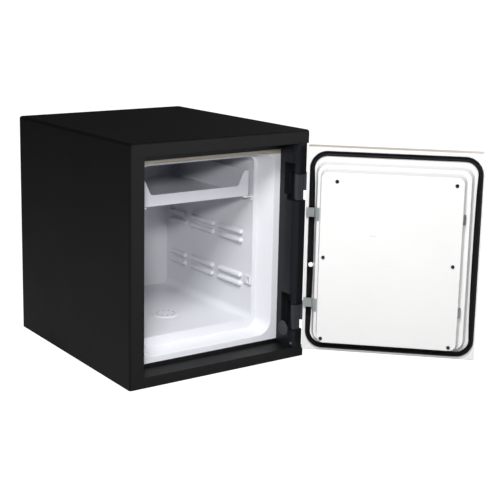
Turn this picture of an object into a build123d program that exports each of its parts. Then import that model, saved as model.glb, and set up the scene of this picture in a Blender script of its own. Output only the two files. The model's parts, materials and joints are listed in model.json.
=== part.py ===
from build123d import *
from math import cos, radians, sin, sqrt
import os

# Fire-resistant in-room safe, millimetres. Everything is drawn in a working frame:
# x from the body's left side, y back from the front plane, z up from the floor,
# with the door closed. At the end the door turns open about its hinge, and all
# pieces move so that the origin is the centre of the body's underside.

# ---- driving dimensions: body --------------------------------------------------
BODY_WIDTH = 374.0
BODY_DEPTH = 437.0
BODY_HEIGHT = 427.0
BODY_DRAFT = 5.0            # each side and the top lean in by this much at the back
EDGE_ROUND = 5.0            # edges that run from front to back
RIM_ROUND = 4.0             # edges of the front and the back
FOOT_CUT = 8.0              # cut off the rounded outline below, so that the underside is flat
SHEET = 2.0                 # steel sheet of the casing
RIM_LEFT = 28.0             # width of the front rim on each side of the doorway
RIM_RIGHT = 29.0
RIM_TOP = 24.5
RIM_BOTTOM = 19.0
JAMB_DEPTH = 48.0           # from the front plane back to the liner's flange
SILL_LIP = 6.0              # upturned lip at the back of the sill
BACK_RETURN = 14.0          # return flange of the casing around the back panel
HEAD_RETURN = 15.5          # the casing's return at the head of the doorway, over the liner
BOARD_GAP = 0.2             # between the insulation boards, and between them and the liner

# ---- liner ---------------------------------------------------------------------
LINER_WALL = 3.0
FLANGE_LEFT = 18.0          # visible width of the liner's flange
FLANGE_RIGHT = 14.0
FLANGE_TOP = 20.5
FLANGE_BOTTOM = 17.0
FLANGE_GRIP = 1.0           # how far the flange reaches behind the casing's collar
MOUTH_DEPTH = 34.0          # tapered mouth that takes the door's plug
MOUTH_TAPER_LEFT = 12.0
MOUTH_TAPER_RIGHT = 13.0
MOUTH_TAPER_TOP = 8.0
MOUTH_TAPER_BOTTOM = 7.0
MOUTH_ROUND = 28.0
CAVITY_WALL = 60.0          # insulated wall thickness, free side and floor
CAVITY_WALL_HINGE = 64.0
CAVITY_WALL_TOP = 56.0
CAVITY_BACK_WALL = 67.0
CAVITY_DRAFT = 10.0
CAVITY_FLOOR_RISE = 4.5
CAVITY_ROUND = 13.0
RIB_HEIGHT = 10.0
RIB_PROUD = 6.5
RIB_EDGE = 4.5              # rounding of the ribs' edges
RIB_PITCH = 16.6            # between the two ribs of a pair
RIB_ROWS = (129.5, 213.5)   # heights of the rib pairs
RIB_SPANS = ((112.0, 187.0), (203.0, 280.0), (297.0, 354.0))
ANCHOR_Y = 187.0
ANCHOR_RADIUS = 6.0
ANCHOR_CAP_RADIUS = 26.0
ANCHOR_CAP_THICK = 2.0
ANCHOR_CAP_RELIEF = 0.6     # recess under the cap, over the hole

# ---- tray ----------------------------------------------------------------------
TRAY_FRONT_Y = 86.0
TRAY_BACK_GAP = 40.0        # between the tray and the cavity's back wall
TRAY_TOP_GAP = 26.0         # between the tray's wings and the cavity's roof
TRAY_HEIGHT = 47.5
TRAY_LIP = 20.0
TRAY_WALL = 2.5
TRAY_SIDE_GAP = 9.0         # between the tray and the cavity wall at the front
TRAY_TAPER = 7.0
TRAY_WING = 9.5             # width of the raised wing at the top, outside the slope
TRAY_WING_SLOPE = 13.5
RUNNER_LEDGE = 14.0
RUNNER_THICK = 2.7
RUNNER_PAST = 3.5           # the runners reach this far behind the tray
TRAY_DIP_ROUND = 8.0
CLIP_PROUD = 4.5
CLIP_LENGTH = 19.0
CLIP_HEIGHT = 16.0
WALL_SEAT = 0.1             # between the cavity wall and what is fixed to it

# ---- door ----------------------------------------------------------------------
DOOR_GAP_HINGE = 1.0
DOOR_GAP_FREE = 1.7
DOOR_GAP_BOTTOM = 1.5
DOOR_GAP_TOP = 3.0
FASCIA_THICK = 16.0
FASCIA_INSET = 2.5
FASCIA_ROUND = 8.0
FASCIA_WALL = 2.5
GASKET_SQUEEZE = 6.0        # space between the door's flange and the liner's flange
PANEL_WALL = 2.5
PANEL_LIP = 14.0
LOWER_TIER = 18.0           # the inner panel rises in two tiers
UPPER_TIER = 20.0
GASKET_WIDTH = 9.0
GASKET_MARGIN_SIDE = 5.5
GASKET_MARGIN_TOP = 6.5
PLUG_TOP_GAP = 6.0          # between the plug's root and the mouth, at the top
GASKET_SILL_GAP = 0.4       # between the gasket and the sill's lip, door closed
GASKET_ROUND = 32.0
TIER_DRAFT = 5.0
REST_OPEN_ANGLE = 136.1     # the door stands open by this much at rest

# ---- hinge ---------------------------------------------------------------------
PIVOT_INSET_X = 12.0        # pivot from the body's right side
PIVOT_Y = 15.5
PIN_RADIUS = 4.0
PIN_ENGAGE = 12.0
PIN_CLEARANCE = 0.06
KNUCKLE_HEIGHT = 48.0
KNUCKLE_LOW = 52.0          # height of the lower knuckle's base
KNUCKLE_HIGH = 129.5        # the upper knuckle's base, below the body's top
KNUCKLE_RADIUS = 7.0
KNUCKLE_GAP = 1.5
KNUCKLE_ROOT_RISE = 18.0    # the arm to the door leaves the knuckle above this height
KNUCKLE_ROOT = 10.0
TAIL_REACH = 16.2           # the part of a knuckle that fills the post's notch, door open
TAIL_CLEARANCE = 0.5
RELIEF_CLEARANCE = 0.5      # between the door's corner and the post as the door swings
POST_DEPTH = 25.0
POST_FACE = 5.0             # thickness of the post's face along the jamb
POST_SIDE_INSET = 1.5
POST_ROUND = 9.0
POCKET_DEPTH = 34.0         # recesses in the jamb around the knuckles, from the front plane
POCKET_WIDTH = 12.0
POCKET_START = 9.0          # above the knuckle's base
POCKET_RISE = 20.0          # above the knuckle's top
POCKET_WALL = 3.0
JAMB_CAP_RADIUS = 14.5
JAMB_CAP_THICK = 0.7
POST_SCREW_ANGLE = 214.0
POST_SCREW_RISE = 6.7
POST_SCREW_RADIUS = 2.6

# ---- boltwork ------------------------------------------------------------------
BOLT_HEIGHTS = (115.0, 285.0)
BOLT_SIZE_Z = 17.0
BOLT_SIZE_Y = 12.0
BOLT_LENGTH = 70.0
BOLT_TIP_X = 59.0
BOLT_BEVEL = 6.0
BOLT_Y = 64.0               # front face of the bolts
CRANK_RADIUS = 34.0
HANDLE_TURN = 45.0
SPINDLE_X = 107.0
SPINDLE_Z = 200.0
SPINDLE_RADIUS = 5.0
CRANK_PIN_RADIUS = 3.5
PLATE_Y = 54.0
PLATE_THICK = 2.0
CARRIAGE_THICK = 4.0
CARRIAGE_WIDTH = 28.0
SLOT_CLEARANCE = 0.4
SLIDE_CLEARANCE = 0.4
SCREW_RADIUS = 1.5
PLUNGER_X = 101.0
PLUNGER_RADIUS = 3.0

# ---- outside controls ----------------------------------------------------------
KEYPAD_X = 190.0
KEYPAD_WIDTH = 90.0
KEYPAD_BOTTOM = 216.0
KEYPAD_HEIGHT = 140.0
KEYPAD_PROUD = 9.0
TUB_WIDTH = 76.0
TUB_DEPTH = 14.0
TUB_WALL = 2.5
KEY_WIDTH = 15.0
KEY_HEIGHT = 10.0
KEY_PITCH_X = 21.0
KEY_PITCH_Z = 14.5
KEY_TOP_ROW_Z = 341.5
KEY_TRAVEL = 1.2
KEY_CLEARANCE = 0.3
CELL_RADIUS = 7.25
CELL_LENGTH = 50.5
CELL_PITCH = 15.0
COVER_THICK = 2.0
COVER_TRAVEL = 12.0
LOCK_X = 270.0
LOCK_Z = 287.0
LOCK_RADIUS = 10.0
LOCK_PLUG_RADIUS = 6.0
HANDLE_LENGTH = 95.0
HANDLE_STAND_OFF = 14.0
HANDLE_THICK = 12.0
FIT = 0.06                  # radial clearance of turning shafts

# ---- worked-out places ---------------------------------------------------------
OPEN_X0 = RIM_LEFT
OPEN_X1 = BODY_WIDTH - RIM_RIGHT
OPEN_Z0 = RIM_BOTTOM
OPEN_Z1 = BODY_HEIGHT - RIM_TOP
PIVOT_X = BODY_WIDTH - PIVOT_INSET_X
KNUCKLE_BASES = (KNUCKLE_LOW, BODY_HEIGHT - KNUCKLE_HIGH)
DOOR_X0 = OPEN_X0 + DOOR_GAP_FREE
DOOR_X1 = OPEN_X1 - DOOR_GAP_HINGE
DOOR_Z0 = OPEN_Z0 + DOOR_GAP_BOTTOM
DOOR_Z1 = OPEN_Z1 - DOOR_GAP_TOP
FLANGE_Y = JAMB_DEPTH - GASKET_SQUEEZE          # the door's inner flange, closed
SHELL_BACK_Y = FLANGE_Y - PANEL_WALL
LEDGE_Y = FLANGE_Y + LOWER_TIER
PANEL_TOP_Y = LEDGE_Y + UPPER_TIER
MOUTH_BACK_Y = JAMB_DEPTH + MOUTH_DEPTH
CAVITY_BACK_Y = BODY_DEPTH - CAVITY_BACK_WALL
BOLT_THROW = 2 * CRANK_RADIUS * sin(radians(HANDLE_TURN / 2))


# ---- shape helpers -------------------------------------------------------------
def block(x0, x1, y0, y1, z0, z1):
    return Pos((x0 + x1) / 2, (y0 + y1) / 2, (z0 + z1) / 2) * Box(x1 - x0, y1 - y0, z1 - z0)


def rod_x(y, z, radius, x0, x1):
    return Pos((x0 + x1) / 2, y, z) * Rot(0, 90, 0) * Cylinder(radius, x1 - x0)


def rod_y(x, z, radius, y0, y1):
    return Pos(x, (y0 + y1) / 2, z) * Rot(90, 0, 0) * Cylinder(radius, y1 - y0)


def rod_z(x, y, radius, z0, z1):
    return Pos(x, y, (z0 + z1) / 2) * Cylinder(radius, z1 - z0)


def grow(rect, by):
    x0, x1, z0, z1 = rect
    return (x0 - by, x1 + by, z0 - by, z1 + by)


def upright_face(y, rect, radius):
    """A rounded rectangle standing in the plane at depth y."""
    x0, x1, z0, z1 = rect
    plane = Plane(origin=((x0 + x1) / 2, y, (z0 + z1) / 2), x_dir=(1, 0, 0), z_dir=(0, -1, 0))
    return plane * RectangleRounded(x1 - x0, z1 - z0, radius)


def tapered(y0, rect0, radius0, y1, rect1, radius1):
    """A solid that goes from one rounded rectangle to another."""
    return loft([upright_face(y0, rect0, radius0), upright_face(y1, rect1, radius1)])


def straight(y0, y1, rect, radius):
    return tapered(y0, rect, radius, y1, rect, radius)


def plan_shape(points, z0, z1):
    """A solid with the given outline seen from above."""
    outline = make_face(Polyline(*[(x, y, z0) for x, y in points], close=True))
    return extrude(outline, z1 - z0, dir=(0, 0, 1))


def front_shape(points, y0, y1):
    """A solid with the given outline seen from the front."""
    outline = make_face(Polyline(*[(x, y0, z) for x, z in points], close=True))
    return extrude(outline, y1 - y0, dir=(0, 1, 0))


def link_bar(x0, z0, r0, x1, z1, r1, y0, y1):
    """A flat bar with two round ends, like a crank or a lever seen from the front."""
    ends = rod_y(x0, z0, r0, y0, y1) + rod_y(x1, z1, r1, y0, y1)
    dx = x1 - x0
    dz = z1 - z0
    span = sqrt(dx * dx + dz * dz)
    ux = -dz / span
    uz = dx / span
    web = [
        (x0 + ux * r0, z0 + uz * r0),
        (x1 + ux * r1, z1 + uz * r1),
        (x1 - ux * r1, z1 - uz * r1),
        (x0 - ux * r0, z0 - uz * r0),
    ]
    return ends + front_shape(web, y0, y1)


# ---- body ----------------------------------------------------------------------
def envelope_rect(y, inset):
    """The body's outline at depth y, brought in by an inset."""
    lean = BODY_DRAFT * y / BODY_DEPTH
    return (lean + inset, BODY_WIDTH - lean - inset, inset, BODY_HEIGHT - lean - inset)


def drawn_envelope(inset, y0, y1, radius):
    """The body's outer shape, drawn past its underside."""
    front = envelope_rect(y0, inset)
    rear = envelope_rect(y1, inset)
    return tapered(y0, front[:2] + (front[2] - FOOT_CUT,) + front[3:], radius,
                   y1, rear[:2] + (rear[2] - FOOT_CUT,) + rear[3:], radius)


def below(z):
    return block(-1, BODY_WIDTH + 1, -1, BODY_DEPTH + 1, z - FOOT_CUT - 1, z)


def envelope(inset, y0, y1, radius):
    return drawn_envelope(inset, y0, y1, radius) - below(inset)


def body_block():
    """The body's whole outer shape, with its front and back edges rounded."""
    shape = drawn_envelope(0, 0, BODY_DEPTH, EDGE_ROUND)
    ends = shape.faces().sort_by(Axis.Y)
    return fillet(ends[0].edges() + ends[-1].edges(), RIM_ROUND) - below(0)


def doorway():
    return block(OPEN_X0, OPEN_X1, -1, JAMB_DEPTH, OPEN_Z0, OPEN_Z1)


def pocket_housing(base, extra=0.0):
    """The box behind a knuckle that holds its pocket."""
    return block(OPEN_X1, OPEN_X1 + POCKET_WIDTH + 10 + extra, POST_DEPTH - 1,
                 POCKET_DEPTH + POCKET_WALL + extra, base - POCKET_WALL - KNUCKLE_GAP - extra,
                 base + KNUCKLE_HEIGHT + POCKET_RISE + POCKET_WALL + extra)


def post_slot():
    """The space in the right-hand rim that the hinge post fills."""
    front = block(OPEN_X1, BODY_WIDTH + 1, -1, POST_DEPTH, OPEN_Z0, OPEN_Z1)
    front += block(OPEN_X1, OPEN_X1 + POST_FACE, POST_DEPTH - 1, JAMB_DEPTH - SHEET,
                   OPEN_Z0, OPEN_Z1)
    for base in KNUCKLE_BASES:
        front += pocket_housing(base)
    return front


def collar():
    """Sheet walls that line the doorway and the hinge post's slot."""
    walls = block(OPEN_X0 - SHEET, OPEN_X1 + SHEET, 0, JAMB_DEPTH,
                  OPEN_Z0 - SHEET, OPEN_Z1 + SHEET)
    walls += block(OPEN_X1 - SHEET, BODY_WIDTH - SHEET, 0, POST_DEPTH + SHEET,
                   OPEN_Z0 - SHEET, OPEN_Z1 + SHEET)
    walls += block(OPEN_X1 - SHEET, OPEN_X1 + POST_FACE + SHEET, 0, JAMB_DEPTH,
                   OPEN_Z0 - SHEET, OPEN_Z1 + SHEET)
    for base in KNUCKLE_BASES:
        walls += pocket_housing(base, SHEET)
    return walls


def sheet_hollow():
    return envelope(SHEET, SHEET, BODY_DEPTH - SHEET, EDGE_ROUND - SHEET)


def head_return():
    """The casing's downturned edge at the head of the doorway, flush with the liner's flange."""
    return block(OPEN_X0 - SHEET, OPEN_X1 + SHEET, JAMB_DEPTH, JAMB_DEPTH + SHEET,
                 OPEN_Z1 - HEAD_RETURN, OPEN_Z1 + SHEET)


def make_outer_casing():
    skin = body_block() - below(SHEET)
    casing = skin - (sheet_hollow() - collar()) - doorway() - post_slot() + head_return()
    casing += block(OPEN_X0, OPEN_X1, JAMB_DEPTH - SHEET, JAMB_DEPTH,
                    OPEN_Z0 - SHEET / 2, OPEN_Z0 + SILL_LIP)
    casing -= straight(BODY_DEPTH - SHEET - 1, BODY_DEPTH + 1,
                       envelope_rect(BODY_DEPTH, BACK_RETURN), EDGE_ROUND)
    return casing


def anchor_hole():
    return rod_z(ANCHOR_X, ANCHOR_Y, ANCHOR_RADIUS, -1, CAVITY_WALL + 10)


def make_base_plate():
    """The flat sheet under the body, which the casing and the insulation stand on."""
    return (body_block() & block(-1, BODY_WIDTH + 1, -1, BODY_DEPTH + 1, 0, SHEET)) - anchor_hole()


def make_back_panel():
    return straight(BODY_DEPTH - 2 * SHEET, BODY_DEPTH - SHEET,
                    envelope_rect(BODY_DEPTH, SHEET + 0.2), EDGE_ROUND - SHEET)


MOUTH_FRONT = (OPEN_X0 + FLANGE_LEFT, OPEN_X1 - FLANGE_RIGHT,
               OPEN_Z0 + FLANGE_BOTTOM, OPEN_Z1 - FLANGE_TOP)
MOUTH_BACK = (MOUTH_FRONT[0] + MOUTH_TAPER_LEFT, MOUTH_FRONT[1] - MOUTH_TAPER_RIGHT,
              MOUTH_FRONT[2] + MOUTH_TAPER_BOTTOM, MOUTH_FRONT[3] - MOUTH_TAPER_TOP)
CAVITY_FRONT = (CAVITY_WALL, BODY_WIDTH - CAVITY_WALL_HINGE,
                CAVITY_WALL, BODY_HEIGHT - CAVITY_WALL_TOP)
CAVITY_REAR = (CAVITY_FRONT[0] + CAVITY_DRAFT, CAVITY_FRONT[1] - CAVITY_DRAFT,
               CAVITY_FRONT[2] + CAVITY_FLOOR_RISE, CAVITY_FRONT[3] - CAVITY_FLOOR_RISE)
ANCHOR_X = (CAVITY_FRONT[0] + CAVITY_FRONT[1]) / 2


def between(y, y0, value0, y1, value1):
    return value0 + (value1 - value0) * (y - y0) / (y1 - y0)


def along_cavity(y, front, rear):
    """A cavity wall's coordinate at depth y, between its front and rear values."""
    return between(y, MOUTH_BACK_Y, front, CAVITY_BACK_Y, rear)


def mouth_space(extra=0.0):
    return tapered(JAMB_DEPTH, grow(MOUTH_FRONT, extra), MOUTH_ROUND,
                   MOUTH_BACK_Y + extra, grow(MOUTH_BACK, extra), MOUTH_ROUND - 8)


def cavity_space(extra=0.0):
    return tapered(MOUTH_BACK_Y, grow(CAVITY_FRONT, extra), CAVITY_ROUND + extra,
                   CAVITY_BACK_Y + extra, grow(CAVITY_REAR, extra), CAVITY_ROUND + extra)


def liner_outside():
    flange = straight(JAMB_DEPTH, JAMB_DEPTH + LINER_WALL,
                      (OPEN_X0 - FLANGE_GRIP, OPEN_X1 + FLANGE_GRIP,
                       OPEN_Z0 + SILL_LIP - SHEET, OPEN_Z1 - HEAD_RETURN - 0.1), 3)
    return flange + mouth_space(LINER_WALL) + cavity_space(LINER_WALL)


def rib(y0, y1, z):
    """One rounded rib on the right-hand cavity wall."""
    middle = (y0 + y1) / 2
    wall_x = along_cavity(middle, CAVITY_FRONT[1], CAVITY_REAR[1])
    turn = Plane(origin=(wall_x - RIB_PROUD, middle, z), x_dir=(0, 1, 0), z_dir=(1, 0, 0))
    bar = extrude(turn * SlotOverall(y1 - y0, RIB_HEIGHT), RIB_PROUD + LINER_WALL / 2)
    bar = fillet(bar.faces().sort_by(Axis.X)[0].edges(), RIB_EDGE)
    lean = Rot(0, 0, 0.5 * 2 * CAVITY_DRAFT / (CAVITY_BACK_Y - MOUTH_BACK_Y) * 57.3)
    return Pos(wall_x, middle, z) * lean * Pos(-wall_x, -middle, -z) * bar


def wall_ribs():
    ribs = []
    for row in RIB_ROWS:
        for y0, y1 in RIB_SPANS:
            for side in (-0.5, 0.5):
                ribs.append(rib(y0, y1, row + side * RIB_PITCH))
    mirror_plane = Plane(origin=(ANCHOR_X, 0, 0), x_dir=(0, 1, 0), z_dir=(1, 0, 0))
    return ribs + [mirror(bar, mirror_plane) for bar in ribs]


def strike_outside(z, extra=0.0):
    half = BOLT_SIZE_Z / 2 + 1.5 + extra
    return block(BOLT_TIP_X - BOLT_THROW - 1.5 - extra, MOUTH_BACK[0] + 1,
                 BOLT_Y - 2 - extra, BOLT_Y + BOLT_SIZE_Y + 2 + extra, z - half, z + half)


def make_strike_boxes():
    boxes = []
    for z in BOLT_HEIGHTS:
        boxes.append(strike_outside(z, 1.5) - strike_outside(z) - mouth_space(LINER_WALL))
    return Compound(children=boxes)


def make_inner_liner():
    liner = liner_outside() - mouth_space() - cavity_space()
    for z in BOLT_HEIGHTS:
        liner -= strike_outside(z)
    for bar in wall_ribs():
        liner += bar
    return liner - anchor_hole()


# ---- insulation boards: each is cut to fit between the casing and the liner ------
def liner_rect(y):
    """The outline that the insulation keeps clear of at depth y."""
    clear = LINER_WALL + BOARD_GAP
    if y <= MOUTH_BACK_Y + LINER_WALL:
        y0, front, y1, rear = JAMB_DEPTH, MOUTH_FRONT, MOUTH_BACK_Y + LINER_WALL, MOUTH_BACK
    else:
        y0, front, y1, rear = MOUTH_BACK_Y, CAVITY_FRONT, CAVITY_BACK_Y + LINER_WALL, CAVITY_REAR
    return grow(tuple(between(y, y0, a, y1, b) for a, b in zip(front, rear)), clear)


def side_shape(points, x0, x1):
    """A solid with the given outline seen from the side."""
    outline = make_face(Polyline(*[(x0, y, z) for y, z in points], close=True))
    return extrude(outline, x1 - x0, dir=(1, 0, 0))


def board_ring(y0, y1):
    """Four boards around the liner from depth y0 to y1: left, right, floor and roof."""
    a = liner_rect(y0)
    b = liner_rect(y1)
    far = BODY_WIDTH + 1
    high = BODY_HEIGHT + 1
    left = plan_shape([(-1, y0), (a[0], y0), (b[0], y1), (-1, y1)], 0, high)
    right = plan_shape([(far, y0), (a[1], y0), (b[1], y1), (far, y1)], 0, high)
    middle = plan_shape([(a[0] + BOARD_GAP, y0), (a[1] - BOARD_GAP, y0),
                         (b[1] - BOARD_GAP, y1), (b[0] + BOARD_GAP, y1)], 0, high)
    floor = middle & side_shape([(y0, 0), (y1, 0), (y1, b[2]), (y0, a[2])], -1, far)
    roof = middle & side_shape([(y0, a[3]), (y1, b[3]), (y1, high), (y0, high)], -1, far)
    return [left, right, floor, roof]


def rim_boards():
    """Strips inside the front rim, around the doorway."""
    back = JAMB_DEPTH + LINER_WALL
    left = OPEN_X0 - SHEET
    rest = left + BOARD_GAP
    low = OPEN_Z0 - SHEET
    high = OPEN_Z1 + SHEET
    jamb = OPEN_X1 + POST_FACE + SHEET
    behind = POCKET_DEPTH + POCKET_WALL + SHEET + BOARD_GAP
    return [
        block(0, left, 0, back, 0, BODY_HEIGHT),
        block(rest, BODY_WIDTH, 0, back, 0, low),
        block(rest, BODY_WIDTH, 0, back, high, BODY_HEIGHT),
        block(jamb, BODY_WIDTH, behind, back, low + BOARD_GAP, high - BOARD_GAP),
    ]


def make_body_insulation():
    ring_start = JAMB_DEPTH + LINER_WALL + BOARD_GAP
    ring_step = MOUTH_BACK_Y + LINER_WALL
    back = CAVITY_BACK_Y + LINER_WALL + BOARD_GAP
    inside = envelope(SHEET, SHEET, BODY_DEPTH - 2 * SHEET, EDGE_ROUND - SHEET)
    boards = rim_boards() + board_ring(ring_start, ring_step)
    boards += board_ring(ring_step + BOARD_GAP, back - BOARD_GAP)
    boards.append(block(0, BODY_WIDTH, back, BODY_DEPTH, 0, BODY_HEIGHT))
    cuts = [strike_outside(z, 1.5) for z in BOLT_HEIGHTS] + [anchor_hole()]
    fitted = []
    for board in boards:
        board = board & inside
        for cut in cuts:
            board -= cut
        fitted.append(board)
    return Compound(children=fitted)


def make_anchor_cap():
    """Cover over the bolt-down hole, lying on the sloping floor of the cavity."""
    cap = Pos(0, 0, ANCHOR_CAP_THICK / 2) * Cylinder(ANCHOR_CAP_RADIUS, ANCHOR_CAP_THICK)
    cap = chamfer(cap.faces().sort_by(Axis.Z)[-1].edges(), 0.8)
    ring = Cylinder(ANCHOR_CAP_RADIUS - 4, 1.2) - Cylinder(ANCHOR_CAP_RADIUS - 5.5, 1.2)
    cap -= Pos(0, 0, ANCHOR_CAP_THICK) * ring
    for step in range(10):
        dimple = Pos(0, 0, ANCHOR_CAP_THICK) * Cylinder(1.6, 1.6)
        cap -= Rot(0, 0, 36 * step) * Pos(ANCHOR_CAP_RADIUS - 9, 0, 0) * dimple
    cap -= Pos(0, 0, ANCHOR_CAP_THICK) * Box(14, 2.4, 1.6)
    cap -= Cylinder(ANCHOR_RADIUS + 2, 2 * ANCHOR_CAP_RELIEF)
    slope = CAVITY_FLOOR_RISE / (CAVITY_BACK_Y - MOUTH_BACK_Y) * 57.3
    floor_z = along_cavity(ANCHOR_Y, CAVITY_FRONT[2], CAVITY_REAR[2])
    return Pos(ANCHOR_X, ANCHOR_Y, floor_z + 0.02) * Rot(slope, 0, 0) * cap


# ---- hinge ---------------------------------------------------------------------
def around_pivot(reach, angle):
    """A point seen from above, by its distance and direction from the hinge's pivot."""
    return (PIVOT_X + reach * cos(radians(angle)), PIVOT_Y + reach * sin(radians(angle)))


def knuckle_notch(base):
    z0 = base - KNUCKLE_GAP
    z1 = base + KNUCKLE_HEIGHT + KNUCKLE_GAP
    notch = rod_z(PIVOT_X, PIVOT_Y, TAIL_REACH + TAIL_CLEARANCE, z0, z1)
    notch -= block(PIVOT_X + 3.8, BODY_WIDTH + 20, POST_DEPTH, POST_DEPTH + 20, z0 - 1, z1 + 1)
    return notch + block(OPEN_X1 - 1, BODY_WIDTH + 1, -1, POST_DEPTH + 1, z0, z1)


def hinge_pin(base, radius):
    return rod_z(PIVOT_X, PIVOT_Y, radius, base - PIN_ENGAGE, base + KNUCKLE_HEIGHT + PIN_ENGAGE)


def post_screw(radius, inner, outer):
    """A round solid set square to the post's hollow corner, near the sill."""
    middle = around_pivot((inner + outer) / 2, POST_SCREW_ANGLE)
    outward = around_pivot(1, POST_SCREW_ANGLE)
    plane = Plane(origin=(middle[0], middle[1], OPEN_Z0 + POST_SCREW_RISE), x_dir=(0, 0, 1),
                  z_dir=(outward[0] - PIVOT_X, outward[1] - PIVOT_Y, 0))
    return plane * Cylinder(radius, outer - inner)


def make_hinge_post():
    right = BODY_WIDTH - POST_SIDE_INSET
    post = block(OPEN_X1, right, 0, POST_DEPTH, OPEN_Z0, OPEN_Z1)
    front_edge = post.edges().filter_by(Axis.Z).sort_by(Axis.Y)[0:2].sort_by(Axis.X)[-1]
    post = fillet(front_edge, POST_ROUND)
    post += block(OPEN_X1, OPEN_X1 + POST_FACE, POST_DEPTH - 1, JAMB_DEPTH - SHEET,
                  OPEN_Z0, OPEN_Z1)
    swing = PIVOT_X - DOOR_X1 - RELIEF_CLEARANCE
    relief = block(OPEN_X1 - 1, PIVOT_X, -1, PIVOT_Y, OPEN_Z0 - 1, OPEN_Z1 + 1)
    relief -= rod_z(PIVOT_X, PIVOT_Y, swing, OPEN_Z0 - 1, OPEN_Z1 + 1)
    post -= relief
    for base in KNUCKLE_BASES:
        post += pocket_housing(base)
    for base in KNUCKLE_BASES:
        post -= knuckle_notch(base)
        post -= block(OPEN_X1 - 1, OPEN_X1 + POCKET_WIDTH, 6.5, POCKET_DEPTH,
                      base + POCKET_START, base + KNUCKLE_HEIGHT + POCKET_RISE)
        post -= hinge_pin(base, PIN_RADIUS)
    return post - post_screw(POST_SCREW_RADIUS, swing - 6, swing + 2)


def make_hinge_pins():
    return Compound(children=[hinge_pin(base, PIN_RADIUS) for base in KNUCKLE_BASES])


def make_post_screw():
    swing = PIVOT_X - DOOR_X1 - RELIEF_CLEARANCE
    return post_screw(POST_SCREW_RADIUS, swing - 6, swing - 0.6)


def make_jamb_cap():
    """A thin round cover on the jamb beside the lower knuckle."""
    z = KNUCKLE_BASES[0] - KNUCKLE_GAP
    y = PIVOT_Y - 3.5 + JAMB_CAP_RADIUS
    cap = rod_x(y, z, JAMB_CAP_RADIUS, OPEN_X1 - JAMB_CAP_THICK, OPEN_X1)
    return cap - rod_x(PIVOT_Y, z + 10.5, 1.8, OPEN_X1 - 2, OPEN_X1 + 1)


def knuckle(base):
    top = base + KNUCKLE_HEIGHT
    root = base + KNUCKLE_ROOT_RISE
    root_x = DOOR_X1 + KNUCKLE_ROOT
    arm = block(DOOR_X1, root_x, -2, PIVOT_Y + 6, root, top)
    arm += block(DOOR_X1 - FASCIA_INSET, DOOR_X1 + 1, -2, FASCIA_THICK, root, top)
    arm += plan_shape([(root_x - 1, -2), around_pivot(KNUCKLE_RADIUS, -60),
                       around_pivot(KNUCKLE_RADIUS, 90), (root_x - 1, PIVOT_Y + 6)], root, top)
    barrel = rod_z(PIVOT_X, PIVOT_Y, KNUCKLE_RADIUS, base, top)
    tail = plan_shape([around_pivot(KNUCKLE_RADIUS, 60), around_pivot(TAIL_REACH - 2.5, 78),
                       around_pivot(TAIL_REACH, 81), around_pivot(TAIL_REACH, 95),
                       around_pivot(TAIL_REACH - 1.8, 140), around_pivot(KNUCKLE_RADIUS, 190)],
                      base, top)
    return arm + barrel + tail - rod_z(PIVOT_X, PIVOT_Y, PIN_RADIUS + PIN_CLEARANCE,
                                       base - 1, top + 1)


def make_hinge_knuckles():
    return Compound(children=[knuckle(base) for base in KNUCKLE_BASES])


# ---- tray ----------------------------------------------------------------------
TRAY_X0 = CAVITY_FRONT[0] + TRAY_SIDE_GAP
TRAY_X1 = CAVITY_FRONT[1] - TRAY_SIDE_GAP
TRAY_TOP_Z = CAVITY_FRONT[3] - TRAY_TOP_GAP
TRAY_BASE_Z = TRAY_TOP_Z - TRAY_HEIGHT
TRAY_BACK_Y = CAVITY_BACK_Y - TRAY_BACK_GAP


def make_tray():
    base = TRAY_BASE_Z
    top = TRAY_TOP_Z
    wall = TRAY_WALL
    outside = tapered(TRAY_FRONT_Y, (TRAY_X0, TRAY_X1, base, top + 10), 3,
                      TRAY_BACK_Y, (TRAY_X0 + TRAY_TAPER, TRAY_X1 - TRAY_TAPER, base, top + 10), 3)
    inside = tapered(TRAY_FRONT_Y + wall, (TRAY_X0 + wall, TRAY_X1 - wall, base + wall, top + 20), 2,
                     TRAY_BACK_Y - wall, (TRAY_X0 + TRAY_TAPER + wall, TRAY_X1 - TRAY_TAPER - wall,
                                          base + wall, top + 20), 2)
    tray = outside - inside
    tray -= block(0, BODY_WIDTH, 0, BODY_DEPTH, top, top + 30)
    foot = TRAY_WING + TRAY_WING_SLOPE
    dip = [(TRAY_X0 + TRAY_WING, top + 1), (TRAY_X0 + foot, base + TRAY_LIP),
           (TRAY_X1 - foot, base + TRAY_LIP), (TRAY_X1 - TRAY_WING, top + 1)]
    dip = front_shape(dip, TRAY_FRONT_Y - 1, TRAY_FRONT_Y + wall + 2)
    corners = dip.edges().filter_by(Axis.Y).sort_by(Axis.Z)[0:2]
    return tray - fillet(corners, TRAY_DIP_ROUND)


def runner(side):
    """One tray runner: a ledge under the tray's edge and a leg on the cavity wall."""
    front = MOUTH_BACK_Y + 1.5
    back = TRAY_BACK_Y + RUNNER_PAST
    ledge_top = TRAY_BASE_Z - 0.3
    if side > 0:
        inner = TRAY_X1 - TRAY_TAPER - 5
        outer = CAVITY_FRONT[1] + 5
        leg_inner = CAVITY_FRONT[1] - 3
        leg_back = CAVITY_REAR[1] - 1
    else:
        inner = CAVITY_FRONT[0] - 5
        outer = TRAY_X0 + TRAY_TAPER + 5
        leg_inner = CAVITY_FRONT[0] + 3
        leg_back = CAVITY_REAR[0] + 1
    ledge = block(inner, outer, front, back, ledge_top - RUNNER_THICK, ledge_top)
    far = CAVITY_FRONT[1] + 5 if side > 0 else CAVITY_FRONT[0] - 5
    leg = plan_shape([(leg_inner, front), (far, front), (far, back), (leg_back, back)],
                     ledge_top - RUNNER_THICK - 7, ledge_top)
    return (ledge + leg) & cavity_space(-WALL_SEAT)


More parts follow.
